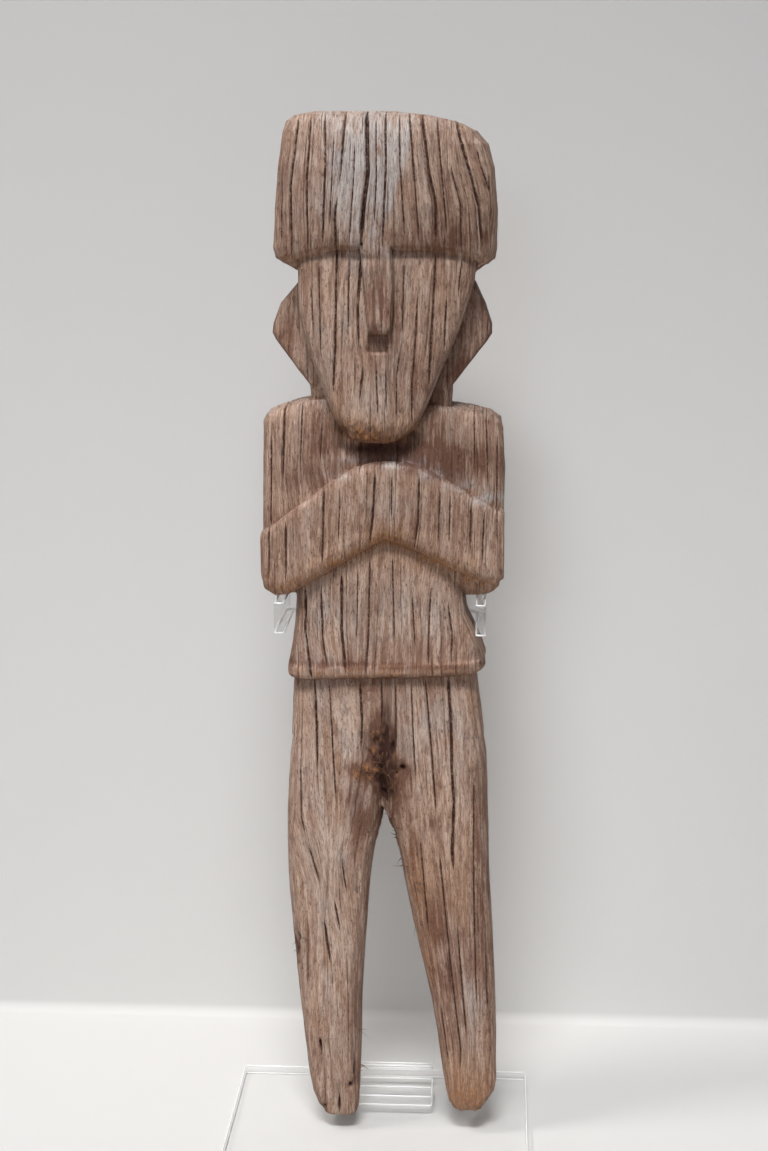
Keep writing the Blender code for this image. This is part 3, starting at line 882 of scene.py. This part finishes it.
def tube_faces(rings: int, sides: int, closed: bool) -> np.ndarray:
    """Return the four-cornered faces between rings of points, each as corner numbers.

    Args:
        rings: How many rings there are.
        sides: How many points each ring has.
        closed: Whether the last ring joins the first.

    Returns:
        One row of four corner numbers for each face.
    """
    ring = np.arange(rings if closed else rings - 1)[:, None]
    side = np.arange(sides)[None, :]
    after = (side + 1) % sides
    above = (ring + 1) % rings
    corners = [ring * sides + side, ring * sides + after,
               above * sides + after, above * sides + side]
    return np.stack(corners, axis=-1).reshape(-1, 4)


# No path here runs along this way, so a circle's first normal is never nought
SLANT = (0.267, 0.535, 0.802)


def sweep(path: np.ndarray, radius: np.ndarray, sides: int, closed: bool) -> np.ndarray:
    """Carry a circle along each path.

    A point is the path's point plus r times cos u along one normal and sin u along another.
    The first normal is the cross product of the path's direction and a fixed slant.

    Args:
        path: Paths by points by three.
        radius: Paths by points.
        sides: Points round the circle.
        closed: Whether the path joins its own start.

    Returns:
        Paths by points by sides by three.
    """
    if closed:
        along = np.roll(path, -1, axis=1) - np.roll(path, 1, axis=1)
    else:
        along = np.gradient(path, axis=1)
    along /= np.linalg.norm(along, axis=-1, keepdims=True)
    first = np.cross(along, np.array(SLANT))
    first /= np.linalg.norm(first, axis=-1, keepdims=True)
    second = np.cross(along, first)
    turn = np.linspace(0.0, 2.0 * np.pi, sides, endpoint=False)
    ring = first[:, :, None] * np.cos(turn)[:, None]
    ring = ring + second[:, :, None] * np.sin(turn)[:, None]
    return path[:, :, None] + ring * radius[:, :, None, None]


def tube_mesh(name: str, points: np.ndarray, closed: bool) -> bpy.types.Mesh:
    """Return one mesh of all the swept tubes, with the open ones capped.

    Args:
        name: The mesh's name.
        points: Tubes by rings by sides by three.
        closed: Whether each tube is a ring.

    Returns:
        A closed mesh whose faces point outwards.
    """
    count, rings, sides = points.shape[:3]
    start = np.arange(count)[:, None] * rings * sides
    quads = tube_faces(rings, sides, closed)[None] + start[:, :, None]
    faces = quads.reshape(-1, 4).tolist()
    if not closed:
        first = np.arange(sides)
        faces += (start + first[::-1]).tolist() + (start + (rings - 1) * sides + first).tolist()
    mesh = bpy.data.meshes.new(name)
    mesh.from_pydata(points.reshape(-1, 3).tolist(), [], faces)
    shape = bmesh.new()
    shape.from_mesh(mesh)
    bmesh.ops.recalc_face_normals(shape, faces=shape.faces)
    shape.to_mesh(mesh)
    shape.free()
    mesh.shade_smooth()
    return mesh


@dataclass
class LooseFibres:
    """Torn fibres that curl out of the wood where it is most decayed."""

    origin: np.ndarray
    unit: float
    places: tuple[tuple[float, float, float, int], ...] = (
        (0.0, 188.0, 7.0, 26),
        (-8.0, 183.0, 4.0, 8),
        (3.0, 163.0, 3.0, 8),
        (7.0, 148.0, 2.5, 5),
        (10.0, 134.0, 2.5, 6),
        (17.0, 106.0, 2.5, 4),
        (-13.4, 47.0, 1.5, 3),
        (-13.6, 22.0, 3.0, 9),
        (-16.0, 350.0, 5.0, 7),
        (-44.0, 90.0, 4.0, 5),
    )
    points: int = 7
    sides: int = 5
    thickness: float = 0.23
    seed: int = 83

    def mesh(self, wood: bpy.types.Mesh) -> bpy.types.Mesh:
        """Grow fibres from the wood's own surface.

        A fibre's point at t is the root, plus t times its length along the way out, plus a
        curl of t squared. Its radius falls off as 1 - 0.8 t.

        Args:
            wood: The finished wood mesh.

        Returns:
            One mesh of closed, tapered tubes.
        """
        draw = np.random.default_rng(self.seed)
        world = read(wood.vertices, "co")
        normal = read(wood.vertices, "normal")
        place = (world - self.origin) / self.unit
        chosen = []
        for across, height, reach, count in self.places:
            near = np.hypot(place[:, 0] - across, place[:, 2] - height) < reach
            near &= normal[:, 1] < 0.25
            found = np.flatnonzero(near)
            if count and len(found):
                chosen.append(draw.choice(found, count))
        root = np.concatenate(chosen)
        count = len(root)
        length = draw.uniform(1.2, 4.2, (count, 1)) * self.unit
        out = normal[root] * 0.8 + draw.normal(0.0, 0.55, (count, 3))
        out /= np.linalg.norm(out, axis=1, keepdims=True)
        curl = draw.normal(0.0, 0.45, (count, 3)) - (0.0, 0.0, 0.3)
        t = np.linspace(-0.12, 1.0, self.points)[None, :, None]
        path = world[root][:, None] + length[:, None] * (out[:, None] * t + curl[:, None] * t * t)
        taper = 1.0 - 0.8 * np.linspace(0.0, 1.0, self.points)
        radius = draw.uniform(0.6, 1.3, (count, 1)) * self.thickness * self.unit * taper
        return tube_mesh("loose fibres", sweep(path, radius, self.sides, False), False)


@dataclass
class WoodFigure:
    """The carved figure as weather left it."""

    node: str = "figure"
    # Voxels are stretched along the grain, because cracks and fibres run that way
    voxel: float = 0.48
    stretch: float = 2.2
    smoothing: int = 1
    soft_smoothing: int = 26
    sharpening: float = 1.3
    most_triangles: int = 197000
    check_spacing: float = 2.9
    foot_left: float = -59.2
    height: float = 500.0
    # Where the head's and the legs' grain take over from the body's
    neck: float = 371.0
    chin: float = 344.0
    face_thickness: float = 17.0
    hem_height: float = 231.5
    hem_slope: float = 0.045
    # How deep each kind of wear goes, and how far the surface may rise, all in units
    check_depth: float = 0.28
    ridge_depth: float = 0.16
    swell_depth: float = 0.40
    dent_depth: float = 0.16
    chip_depth: float = 0.9
    splinter_depth: float = 0.10
    hem_depth: float = 0.7
    foot_depth: float = 0.45
    most_rise: float = 1.6

    def __post_init__(self) -> None:
        """Work out the unit and the axis from the CAD node."""
        low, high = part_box(self.node)
        self.unit = (high[2] - low[2]) / self.height
        self.origin = np.array([low[0] - self.foot_left * self.unit, 0.0, low[2]])
        bottom, top = -4.0, self.height + 4.0
        self.front = GrainMap(HEAD_LANES, 340.0, top)
        self.body = GrainMap(BODY_LANES, 220.0, 376.0)
        self.legs = GrainMap(LEG_LANES, bottom, 240.0)
        self.back = GrainMap(unseen_lanes(bottom, top, 62.0, 7.0, 11), bottom, top)
        self.flank = GrainMap(unseen_lanes(bottom, top, 48.0, 6.0, 23), bottom, top)

    def voxel_mesh(self, smoothing: int) -> bpy.types.Mesh:
        """Return a fine mesh of the CAD solid, with its edges worn by so many passes.

        Args:
            smoothing: How often each vertex moves half way to its neighbours' mean.

        Returns:
            A mesh that has the same vertices for any smoothing.
        """
        merged = bmesh.new()
        merged.from_mesh(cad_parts[self.node].data)
        bmesh.ops.remove_doubles(merged, verts=merged.verts, dist=0.00001)
        bmesh.ops.scale(merged, vec=(1.0, 1.0, 1.0 / self.stretch), verts=merged.verts)
        mesh = bpy.data.meshes.new("figure blank")
        merged.to_mesh(mesh)
        merged.free()
        blank = add_object("figure blank", mesh)
        remesh = blank.modifiers.new("voxels", "REMESH")
        remesh.mode = "VOXEL"
        remesh.voxel_size = self.voxel * self.unit
        worn = blank.modifiers.new("worn edges", "SMOOTH")
        worn.factor = 0.5
        worn.iterations = smoothing
        fine = evaluated_mesh(blank)
        bpy.data.objects.remove(blank, do_unlink=True)
        places = read(fine.vertices, "co")
        places[:, 2] *= self.stretch
        fine.vertices.foreach_set("co", places.ravel())
        fine.update()
        return fine

    def sample(self, place: np.ndarray,
               normal: np.ndarray) -> tuple[GrainSample, np.ndarray, np.ndarray]:
        """Look up the grain of each place on the side that it faces.

        Args:
            place: Places in units from the figure's own origin.
            normal: The unit normals before weathering.

        Returns:
            The grain, how squarely each place faces its side, and the side's number.
        """
        x, y, z = place.T
        facing = np.stack([-normal[:, 1], np.abs(normal[:, 0]), normal[:, 1]], axis=1)
        facing[:, 0] = np.maximum(facing[:, 0], normal[:, 2])
        side = facing.argmax(axis=1)
        square = smooth_step(0.5, 0.78, facing.max(axis=1))
        grain = self.body.sample(x, z)
        in_head = (z > self.neck) | ((z > self.chin) & (y < self.face_depth()))
        in_legs = z < self.hem_height + self.hem_slope * x
        grain.take_from(self.front.sample(x, z), in_head)
        grain.take_from(self.legs.sample(x, z), in_legs)
        grain.take_from(self.flank.sample(y * np.sign(normal[:, 0]), z), side == Side.FLANK.value)
        grain.take_from(self.back.sample(x, z), side == Side.BACK.value)
        return grain, square, side

    def face_depth(self) -> float:
        """Return the depth that parts the face from the chest behind it, in units."""
        low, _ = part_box(self.node)
        return low[1] / self.unit + self.face_thickness

    def near_mount(self, place: np.ndarray) -> np.ndarray:
        """Tell which places are at the top of the block or close to the mount.

        Args:
            place: Places in units.

        Returns:
            True where the surface may not rise.
        """
        x, y, z = place.T
        low, high = ((corner[2] - self.origin[2]) / self.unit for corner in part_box("cradle"))
        at_top = z > self.height - 1.5
        at_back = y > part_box("cradle")[1][1] / self.unit - 12.0
        at_prongs = (z > low - 2.0) & (z < high + 2.0) & (np.abs(x) > 36.0)
        return at_top | at_back | at_prongs

    def lift(self, place: np.ndarray) -> np.ndarray:
        """Return how far each place rises, so that the arch between the legs ends in a point.

        The rise is 6.5 times e to minus the squared distance from the point's middle in half
        widths, and fades out above and below by smooth steps.

        Args:
            place: Places in units.

        Returns:
            The rise of each place, in units.
        """
        x, _, z = place.T
        rise = 6.5 * bell(-1.2, 2.4, x)
        return rise * smooth_step(178.0, 160.0, z) * smooth_step(151.0, 157.0, z)

    def checks(self, grain: GrainSample, place: np.ndarray,
               side: np.ndarray) -> tuple[np.ndarray, np.ndarray]:
        """Work out the fine checks between the main cracks.

        The check lane is the flow over the spacing, shifted by a slow noise. Its strength is
        another noise of the whole check number and the height, so checks start and stop.

        Args:
            grain: The grain at each place.
            place: Places in units.
            side: The side's number at each place.

        Returns:
            The check lane and the strength from 0 to 1.
        """
        zero = np.zeros(len(place))
        slow = np.stack([grain.flow / 6.0, place[:, 2] / 90.0, zero + 3.0], axis=1)
        lane = grain.flow / self.check_spacing + 0.42 * lattice_noise(slow, 5) + 97.0 * side
        whole = np.round(lane)
        along = np.stack([whole * 7.31, place[:, 2] / 20.0, zero], axis=1)
        strength = smooth_step(0.05, 0.75, lattice_noise(along, 9))
        return lane, strength

    def weather(self, mesh: bpy.types.Mesh, soft: bpy.types.Mesh) -> None:
        """Press cracks, grain ridges and worn places into the mesh.

        A crack's depth falls off as 1 - (d / w)^2 across it. Ridges are noise that is drawn
        out along the height. Pits are soft ovals with a ragged edge. The relief is how far
        the surface stands above a much smoother copy of itself: the sharp edges of the
        carving are made sharper by it, and chipped.

        Args:
            mesh: The fine mesh, which is changed and keeps its old places as attributes.
            soft: The smoother copy.
        """
        world = read(mesh.vertices, "co")
        normal = read(mesh.vertices, "normal")
        place = (world - self.origin) / self.unit
        apart = world - read(soft.vertices, "co")
        relief = np.einsum("ij,ij->i", apart, normal) / self.unit
        grain, square, side = self.sample(place, normal)
        lane, strength = self.checks(grain, place, side)
        across = np.stack([grain.flow, place[:, 1], place[:, 2]], axis=1)

        x, z = place[:, 0], place[:, 2]
        ragged = 1.0 + 0.35 * lattice_noise(place * (0.5, 0.5, 0.22), 31)
        width = np.maximum(grain.half_width * 1.15, 0.05)
        inward = grain.depth * groove(grain.distance, width) * square * ragged
        off = np.abs(lane - np.round(lane)) * self.check_spacing
        inward += self.check_depth * strength * square * groove(off, 0.45)
        inward += self.ridge_depth * RIDGES.at(across)
        inward += self.swell_depth * SWELL.at(place) * square
        inward += self.dent_depth * DENTS.at(place)

        # The legs stay worn, and the hem's thin lip is hardly sharpened
        hem = bell(234.0, 6.0, z)
        sharp = self.sharpening * smooth_step(212.0, 232.0, z) * (1.0 - 0.85 * hem)
        inward -= sharp * np.clip(relief, -0.7, 0.7)
        convex = smooth_step(0.12, 0.5, relief)
        inward += self.chip_depth * convex * smooth_step(0.0, 0.9, CHIPS.at(place))
        inward += self.splinter_depth * convex * SPLINTERS.at(place)
        inward += self.hem_depth * hem * HEM_WAVES.at(place)
        inward += self.foot_depth * smooth_step(26.0, 2.0, z) * (1.0 + FOOT_WEAR.at(place))

        fore = smooth_step(0.1, -0.55, normal[:, 1])
        torn = np.clip(1.0 + 0.7 * TORN.at(place), 0.2, 1.8)
        for pit in PITS:
            inward += pit.cover(x, z) * fore * torn
        lumps = smooth_step(-0.1, 0.6, LUMPS.at(place))
        for crumb in CRUMBS:
            inward -= crumb.cover(x, z) * fore * lumps
        sideways = smooth_step(0.3, 0.8, np.abs(normal[:, 0]))
        inward -= ARCH.cover(x, z) * sideways * (0.7 + 0.6 * lumps)
        inward += HEEL.cover(x, z) + TOE.cover(x, z)
        inward = np.maximum(inward, -np.where(self.near_mount(place), 0.0, self.most_rise))
        for name, values in (("relief", relief), ("rest_place", place), ("rest_normal", normal)):
            store(mesh, name, values)
        moved = world - normal * (inward * self.unit)[:, None]
        moved[:, 2] += self.lift(place) * self.unit
        mesh.vertices.foreach_set("co", moved.ravel())
        mesh.update()

    def thin(self, mesh: bpy.types.Mesh) -> bpy.types.Mesh:
        """Take triangles out of a mesh where it is flat.

        Args:
            mesh: The fine mesh, all of quads.

        Returns:
            A new mesh of no more triangles than the figure's limit.
        """
        triangles = 2 * len(mesh.polygons)
        item = add_object("figure thinned", mesh)
        fewer = item.modifiers.new("fewer triangles", "DECIMATE")
        fewer.ratio = min(1.0, self.most_triangles / triangles)
        fewer.use_collapse_triangulate = True
        thinned = evaluated_mesh(item)
        bpy.data.objects.remove(item, do_unlink=True)
        return thinned

    def paint(self, mesh: bpy.types.Mesh) -> None:
        """Store what the wood material reads: cracks, grain, stains, dirt and painted light.

        Args:
            mesh: The thinned mesh, which still carries its places before weathering.
        """
        place = read(mesh.attributes["rest_place"].data, "vector")
        normal = read(mesh.attributes["rest_normal"].data, "vector")
        normal /= np.maximum(np.linalg.norm(normal, axis=1), 1e-6)[:, None]
        world = read(mesh.vertices, "co")
        grain, square, side = self.sample(place, normal)
        lane, strength = self.checks(grain, place, side)
        x, y, z = place.T
        fore = smooth_step(0.6, -0.2, normal[:, 1])
        relief = read(mesh.attributes["relief"].data, "value")
        edge = smooth_step(0.10, 0.55, relief)
        # Creases just below the hem, where shade falls, get stain and painted shade and lose
        # paleness
        crease_stain_and_shade = smooth_step(-0.08, -0.55, relief) * smooth_step(204.0, 226.0, z)
        lumps = smooth_step(-0.1, 0.6, LUMPS.at(place))
        facing_up_highlight = smooth_step(0.35, 0.75, normal[:, 2])
        off_hem = 1.0 - 0.9 * bell(235.0, 7.0, z)
        strip = np.stack([np.floor(lane) * 5.7, z / 60.0, side * 9.0], axis=1)
        tone = lattice_noise(strip, 73)
        clotted = smooth_step(-0.55, 0.25, CLOTS.at(place))
        ragged = 1.0 + 0.45 * CRACK_EDGES.at(place)
        sunk = np.einsum("ij,ij->i", (world - self.origin) / self.unit - place, -normal)

        def cover(spots: tuple[Spot, ...]) -> np.ndarray:
            """Return what the spots lay on each place, all together."""
            return sum(spot.cover(x, z) for spot in spots)

        # The headdress's pale middle, bleached wear with a painted highlight, ends on the right at
        # a crack that leans with height
        beyond = smooth_step(-1.5, 1.8, x + 1.0 - 0.28 * (z - 440.0))
        beyond = beyond * smooth_step(436.0, 441.0, z)
        underside = smooth_step(-0.2, -0.8, normal[:, 2])
        # Besides the stains, flanks and undersides get painted shade, and the colour darkens
        # towards the back
        stain_and_shade = cover(STAINS_AND_SHADE) * fore + (0.35 * np.abs(normal[:, 0]) + 0.30 * underside)
        stain_and_shade = stain_and_shade + 0.2 * np.clip(y / 40.0 + 0.45, 0.0, 1.0)
        stain_and_shade = stain_and_shade + 0.35 * np.maximum(-tone, 0.0) + 1.1 * crease_stain_and_shade
        crumbs = cover(CRUMBS)
        silt = cover(SILTS) * fore + 0.35 * underside + 0.25 * edge + 1.2 * crumbs * lumps * fore
        bleach_and_highlight = cover(BLEACHES_AND_HIGHLIGHTS) * fore * (1.0 - 0.8 * beyond) + 0.10
        bleach_and_highlight = bleach_and_highlight + 0.2 * np.maximum(tone, 0.0)
        # Faces that look up get a painted highlight, worn edges turn pale, and creases lose
        # paleness
        bleach_and_highlight = bleach_and_highlight + (0.25 * facing_up_highlight + 0.15 * edge) * off_hem - 0.8 * crease_stain_and_shade
        # Deep pits, sunken places, creases and the gaps between crumbs are darkened: dirt with
        # painted shade
        dirt_and_shade = np.clip((cover(PITS) * fore - 0.9) / 2.4, 0.0, 1.0)
        dirt_and_shade = dirt_and_shade + 0.2 * smooth_step(1.2, 3.0, sunk) + 0.9 * cover(SOIL_AND_HOLE_SHADE) * fore * clotted
        dirt_and_shade = dirt_and_shade + 0.30 * crease_stain_and_shade + 0.35 * np.clip(crumbs * fore, 0.0, 1.0) * (1.0 - lumps)
        values = {
            "lane": grain.lane,
            "split": 1.25 * grain.half_width * square / grain.spacing * ragged,
            "check_lane": lane,
            "check_split": 0.36 * strength * square / self.check_spacing * ragged,
            "stain_and_shade": np.clip(stain_and_shade, 0.0, 2.4),
            "silt": np.clip(silt, 0.0, 1.4),
            "bleach_and_highlight": np.clip(bleach_and_highlight, 0.0, 1.6),
            "dirt_and_shade": dirt_and_shade,
        }
        for name, value in values.items():
            store(mesh, name, value)
        behind = np.where(side == Side.FLANK.value, x, y)
        flow = np.stack([grain.flow, 0.15 * behind + 31.0 * side, z], axis=1) * MM
        store(mesh, "grain_place", flow)
        for name in ("relief", "rest_place", "rest_normal"):
            mesh.attributes.remove(mesh.attributes[name])

    def build(self) -> None:
        """Make the figure's piece and let it stand for the CAD node."""
        fine = self.voxel_mesh(self.smoothing)
        LOG.info("figure blank has %d faces", len(fine.polygons))
        self.weather(fine, self.voxel_mesh(self.soft_smoothing))
        mesh = self.thin(fine)
        self.paint(mesh)
        mesh.shade_smooth()
        wood = WeatheredWood().make()
        piece = add_piece("carved_figure", mesh, wood)
        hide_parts(self.node)
        fibres = LooseFibres(self.origin, self.unit).mesh(mesh)
        add_piece("loose_fibres", fibres, DryFibre().make())


@dataclass
class AcrylicMount:
    """The clear mount: three CAD nodes, white tubes that paint their edges' highlights, and
    bubbles in the glue between them.
    """

    plate: str = "base_plate"
    upright: str = "upright"
    cradle: str = "cradle"
    sheet: float = 6.0 * MM
    strip: float = 5.0 * MM
    upright_bend: float = 12.0 * MM
    cradle_bend: float = 9.0 * MM
    edge_radius: float = 0.5 * MM
    edge_sides: int = 6
    corner_steps: int = 5
    bubble_count: int = 44
    bubble_place: float = 26.8 * MM
    seed: int = 71

    def dress(self) -> None:
        """Give each CAD node its clear finish, which is hazier where it is rubbed."""
        finishes = {
            self.plate: ClearAcrylic("clear acrylic plate", alpha=0.08),
            self.upright: ClearAcrylic("clear acrylic upright", alpha=0.09),
            self.cradle: ClearAcrylic("rubbed acrylic cradle", alpha=0.34, roughness=0.12),
        }
        for name, finish in finishes.items():
            clear = finish.make()
            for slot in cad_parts[name].material_slots:
                slot.material = clear

    def loop(self, corners: list[tuple[float, float, float]], radii: list[float]) -> np.ndarray:
        """Return a closed path with a quarter circle of the given radius at each corner.

        With a and b the ways to the corners before and after, the arc's point at an angle is
        the centre, less b r cos and less a r sin, where the centre is the corner + (a + b) r.

        Args:
            corners: The path's corners, all at right angles.
            radii: Each corner's radius.

        Returns:
            Points by three.
        """
        corner = np.array(corners)
        before = np.roll(corner, 1, axis=0) - corner
        after = np.roll(corner, -1, axis=0) - corner
        before /= np.linalg.norm(before, axis=1, keepdims=True)
        after /= np.linalg.norm(after, axis=1, keepdims=True)
        radius = np.array(radii)[:, None]
        centre = corner + (before + after) * radius
        angle = np.linspace(0.0, np.pi / 2.0, self.corner_steps + 1)[None, :, None]
        arc = after[:, None] * np.cos(angle) + before[:, None] * np.sin(angle)
        return (centre[:, None] - arc * radius[:, None]).reshape(-1, 3)

    def edge_loops(self) -> list[np.ndarray]:
        """Return the paths of the long edges, just inside the CAD solids' own edges.

        The upright's loops go round its foot only. Two thin loops in its bend stand for the
        line of light that a bend gathers.

        Returns:
            One closed path for each edge loop.
        """
        r = self.edge_radius
        small = 1.2 * MM
        (x0, y0, z0), (x1, y1, z1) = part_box(self.plate)
        loops = [self.loop([(x0 + r, y0 + r, z), (x1 - r, y0 + r, z), (x1 - r, y1 - r, z),
                            (x0 + r, y1 - r, z)], [small] * 4) for z in (z0 + r, z1 - r)]
        (x0, y0, z0), (x1, y1, z1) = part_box(self.upright)
        for depth in (r, self.sheet - r):
            bend = self.upright_bend - depth
            back, floor = y1 - depth, z0 + depth
            loops.append(self.loop([
                (x0 + r, back - bend, floor), (x0 + r, y0 + r, floor),
                (x1 - r, y0 + r, floor), (x1 - r, back - bend, floor),
            ], [small] * 4))
        inside = y1 - self.sheet / 2.0
        for rise in (14.0 * MM, 15.2 * MM):
            loops.append(self.loop([
                (x0 + 2.0 * r, inside, rise), (x1 - 2.0 * r, inside, rise),
                (x1 - 2.0 * r, inside - 1.2 * MM, rise - 1.0 * MM),
                (x0 + 2.0 * r, inside - 1.2 * MM, rise - 1.0 * MM),
            ], [0.3 * MM] * 4))
        (x0, y0, z0), (x1, y1, z1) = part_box(self.cradle)
        a, b = r, self.strip - r
        outer, inner = self.cradle_bend - r, self.cradle_bend - self.strip + r
        for z in (z0 + r, z1 - r):
            loops.append(self.loop([
                (x0 + a, y0 + r, z), (x0 + a, y1 - a, z), (x1 - a, y1 - a, z), (x1 - a, y0 + r, z),
                (x1 - b, y0 + r, z), (x1 - b, y1 - b, z), (x0 + b, y1 - b, z), (x0 + b, y0 + r, z),
            ], [small, outer, outer, small, small, inner, inner, small]))
        return loops

    def edges(self) -> bpy.types.Mesh:
        """Lay thin white tubes along the flame-polished rims, as painted highlights of their
        light.

        Shorter loops get more points on their two longest stretches, so that all the paths
        make one array.

        Returns:
            One mesh of all the tubes.
        """
        loops = self.edge_loops()
        count = max(len(path) for path in loops)
        paths = []
        for path in loops:
            shut = np.vstack([path, path[:1]])
            step = np.linalg.norm(np.diff(shut, axis=0), axis=1)
            extra = count - len(path)
            longest = np.argsort(step)[-2:] if extra else []
            for item in sorted(longest, reverse=True):
                share = np.linspace(0.0, 1.0, extra // 2 + 2)[1:-1, None]
                between = shut[item] * (1.0 - share) + shut[item + 1] * share
                shut = np.insert(shut, item + 1, between, axis=0)
            paths.append(shut[:-1])
        path = np.stack(paths)
        radius = np.full(path.shape[:2], self.edge_radius)
        return tube_mesh("polished edges", sweep(path, radius, self.edge_sides, True), True)

    def bubbles(self) -> bpy.types.Mesh:
        """Return a row of flat bubbles in the glue under the upright's foot.

        Each is a short tube along Z whose radius follows half a circle, flattened to the gap.

        Returns:
            One mesh of all the bubbles.
        """
        draw = np.random.default_rng(self.seed)
        low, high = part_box(self.upright)
        plate_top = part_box(self.plate)[1][2]
        gap = low[2] - plate_top
        middle = np.empty((self.bubble_count, 1, 3))
        middle[:, 0, 0] = np.linspace(low[0] + 2.0 * MM, high[0] - 2.0 * MM, self.bubble_count)
        middle[:, 0, 0] += draw.normal(0.0, 0.4 * MM, self.bubble_count)
        middle[:, 0, 1] = self.bubble_place + draw.normal(0.0, 0.35 * MM, self.bubble_count)
        middle[:, 0, 2] = plate_top + gap / 2.0
        tilt = np.linspace(0.15, np.pi - 0.15, 5)
        rise = -np.cos(tilt)[None, :, None] * np.array([0.0, 0.0, gap * 0.42])
        radius = draw.uniform(0.35, 0.75, (self.bubble_count, 1)) * MM * np.sin(tilt)
        return tube_mesh("glue bubbles", sweep(middle + rise, radius, 8, False), False)

    def build(self) -> None:
        """Dress the nodes, then add the painted highlights of the edges and the bubbles."""
        self.dress()
        # A flame has melted the sawn edge, which gathers the sheet's light: white tubes paint that
        # highlight
        highlight_paint = ClearAcrylic("painted edge highlight", colour="ffffff", roughness=0.16, alpha=0.85,
                              transmission=0.0)
        add_piece("edge_highlights", self.edges(), highlight_paint.make())
        # Air that the solvent glue trapped, painted as pale dots for the light that the bubbles
        # reflect
        film = ClearAcrylic("bubble in glue", colour="fafaf8", roughness=0.15, ior=1.33, alpha=0.8,
                            transmission=0.0)
        add_piece("glue_bubbles", self.bubbles(), film.make())


@dataclass(frozen=True)
class Lamp:
    """A soft rectangular light that points at a target."""

    name: str
    place: tuple[float, float, float]
    target: tuple[float, float, float]
    size: tuple[float, float]
    power: float
    colour: str
    spread: float

    def build(self) -> None:
        """Add the light to the scene."""
        data = bpy.data.lights.new(self.name, "AREA")
        data.shape = "RECTANGLE"
        data.size, data.size_y = self.size
        data.energy = self.power
        data.color = linear(self.colour)[:3]
        data.spread = math.radians(self.spread)
        item = add_object(self.name, data)
        item.location = self.place
        aim = Vector(self.target) - Vector(self.place)
        item.rotation_euler = aim.to_track_quat("-Z", "Y").to_euler()


# The case's own lights, and a weak one that stands for light thrown back by its floor
LAMPS = (
    Lamp("overhead key", (-0.10, -1.50, 2.60), (0.0, 0.0, 0.04), (1.1, 0.45), 3.9, "fefefe", 38.0),
    Lamp("cool glint", (-0.35, -1.7, 0.95), (-0.02, 0.0, 0.46), (0.9, 0.6), 0.11, "dfe8ff", 16.0),
    Lamp("left spot", (-1.1, -0.35, 1.9), (0.0, 0.0, 0.0), (0.4, 0.4), 4.6, "fffcf8", 100.0),
    Lamp("low fill", (0.05, -1.60, 0.55), (0.0, 0.05, 0.12), (0.9, 0.5), 0.17, "fffdfa", 28.0),
)


@dataclass
class Studio:
    """The plain floor, the pale backdrop, soft light and the camera."""

    wall_place: float = 0.127
    wall_height: float = 1.6
    half_width: float = 1.6
    front_reach: float = 2.2
    corner_radius: float = 0.006
    wall_colour: str = "d3d2d1"
    surround_colour: str = "f2f2f4"
    surround_strength: float = 0.145
    camera_place: tuple[float, float, float] = (0.0572, -0.9748, 0.495)
    camera_pitch: float = -11.994
    camera_yaw: float = 3.223
    focal_pixels: float = 2050.0
    picture_height: float = 1151.0
    sensor: float = 36.0

    def backdrop(self) -> None:
        """Make the floor and wall as one sheet with a small round corner.

        The profile is a floor line, a quarter circle of the corner radius and a wall line,
        drawn out sideways.
        """
        angle = np.linspace(0.0, np.pi / 2.0, 9)
        depth = self.wall_place - self.corner_radius + self.corner_radius * np.sin(angle)
        height = self.corner_radius * (1.0 - np.cos(angle))
        profile = np.stack([np.r_[-self.front_reach, depth, self.wall_place],
                            np.r_[0.0, height, self.wall_height]], axis=1)
        count = len(profile)
        left = np.insert(profile, 0, -self.half_width, axis=1)
        right = np.insert(profile, 0, self.half_width, axis=1)
        faces = [(i, count + i, count + i + 1, i + 1) for i in range(count - 1)]
        mesh = bpy.data.meshes.new("backdrop")
        mesh.from_pydata(np.concatenate([left, right]).tolist(), [], faces)
        mesh.shade_smooth()
        mesh.materials.append(StudioPaint("pale studio paint", self.wall_colour).make())
        add_object("backdrop", mesh)

    def surround(self) -> None:
        """Add the even light that comes from all round."""
        world = bpy.data.worlds.new("even surround")
        world.use_nodes = True
        ground = world.node_tree.nodes["Background"]
        feed(ground, Color=linear(self.surround_colour), Strength=self.surround_strength)
        bpy.context.scene.world = world

    def camera(self) -> None:
        """Add the camera that sees the figure as the photograph does."""
        data = bpy.data.cameras.new("camera")
        data.sensor_fit = "AUTO"
        data.sensor_width = self.sensor
        data.lens = self.focal_pixels / self.picture_height * self.sensor
        data.clip_start = 0.05
        item = add_object("camera", data)
        item.location = self.camera_place
        turn = (math.radians(90.0 + self.camera_pitch), 0.0, math.radians(self.camera_yaw))
        item.rotation_euler = Euler(turn, "XYZ")
        bpy.context.scene.camera = item

    def build(self) -> None:
        """Build the surroundings."""
        self.backdrop()
        for lamp in LAMPS:
            lamp.build()
        self.surround()
        self.camera()
        bpy.context.scene.view_settings.view_transform = "Standard"


def main() -> None:
    """Build the studio, the figure and the mount in order."""
    logging.basicConfig(level=logging.INFO)
    for part in (Studio(), WoodFigure(), AcrylicMount()):
        part.build()
        LOG.info("built %s", type(part).__name__)


if __name__ == "__main__":
    main()
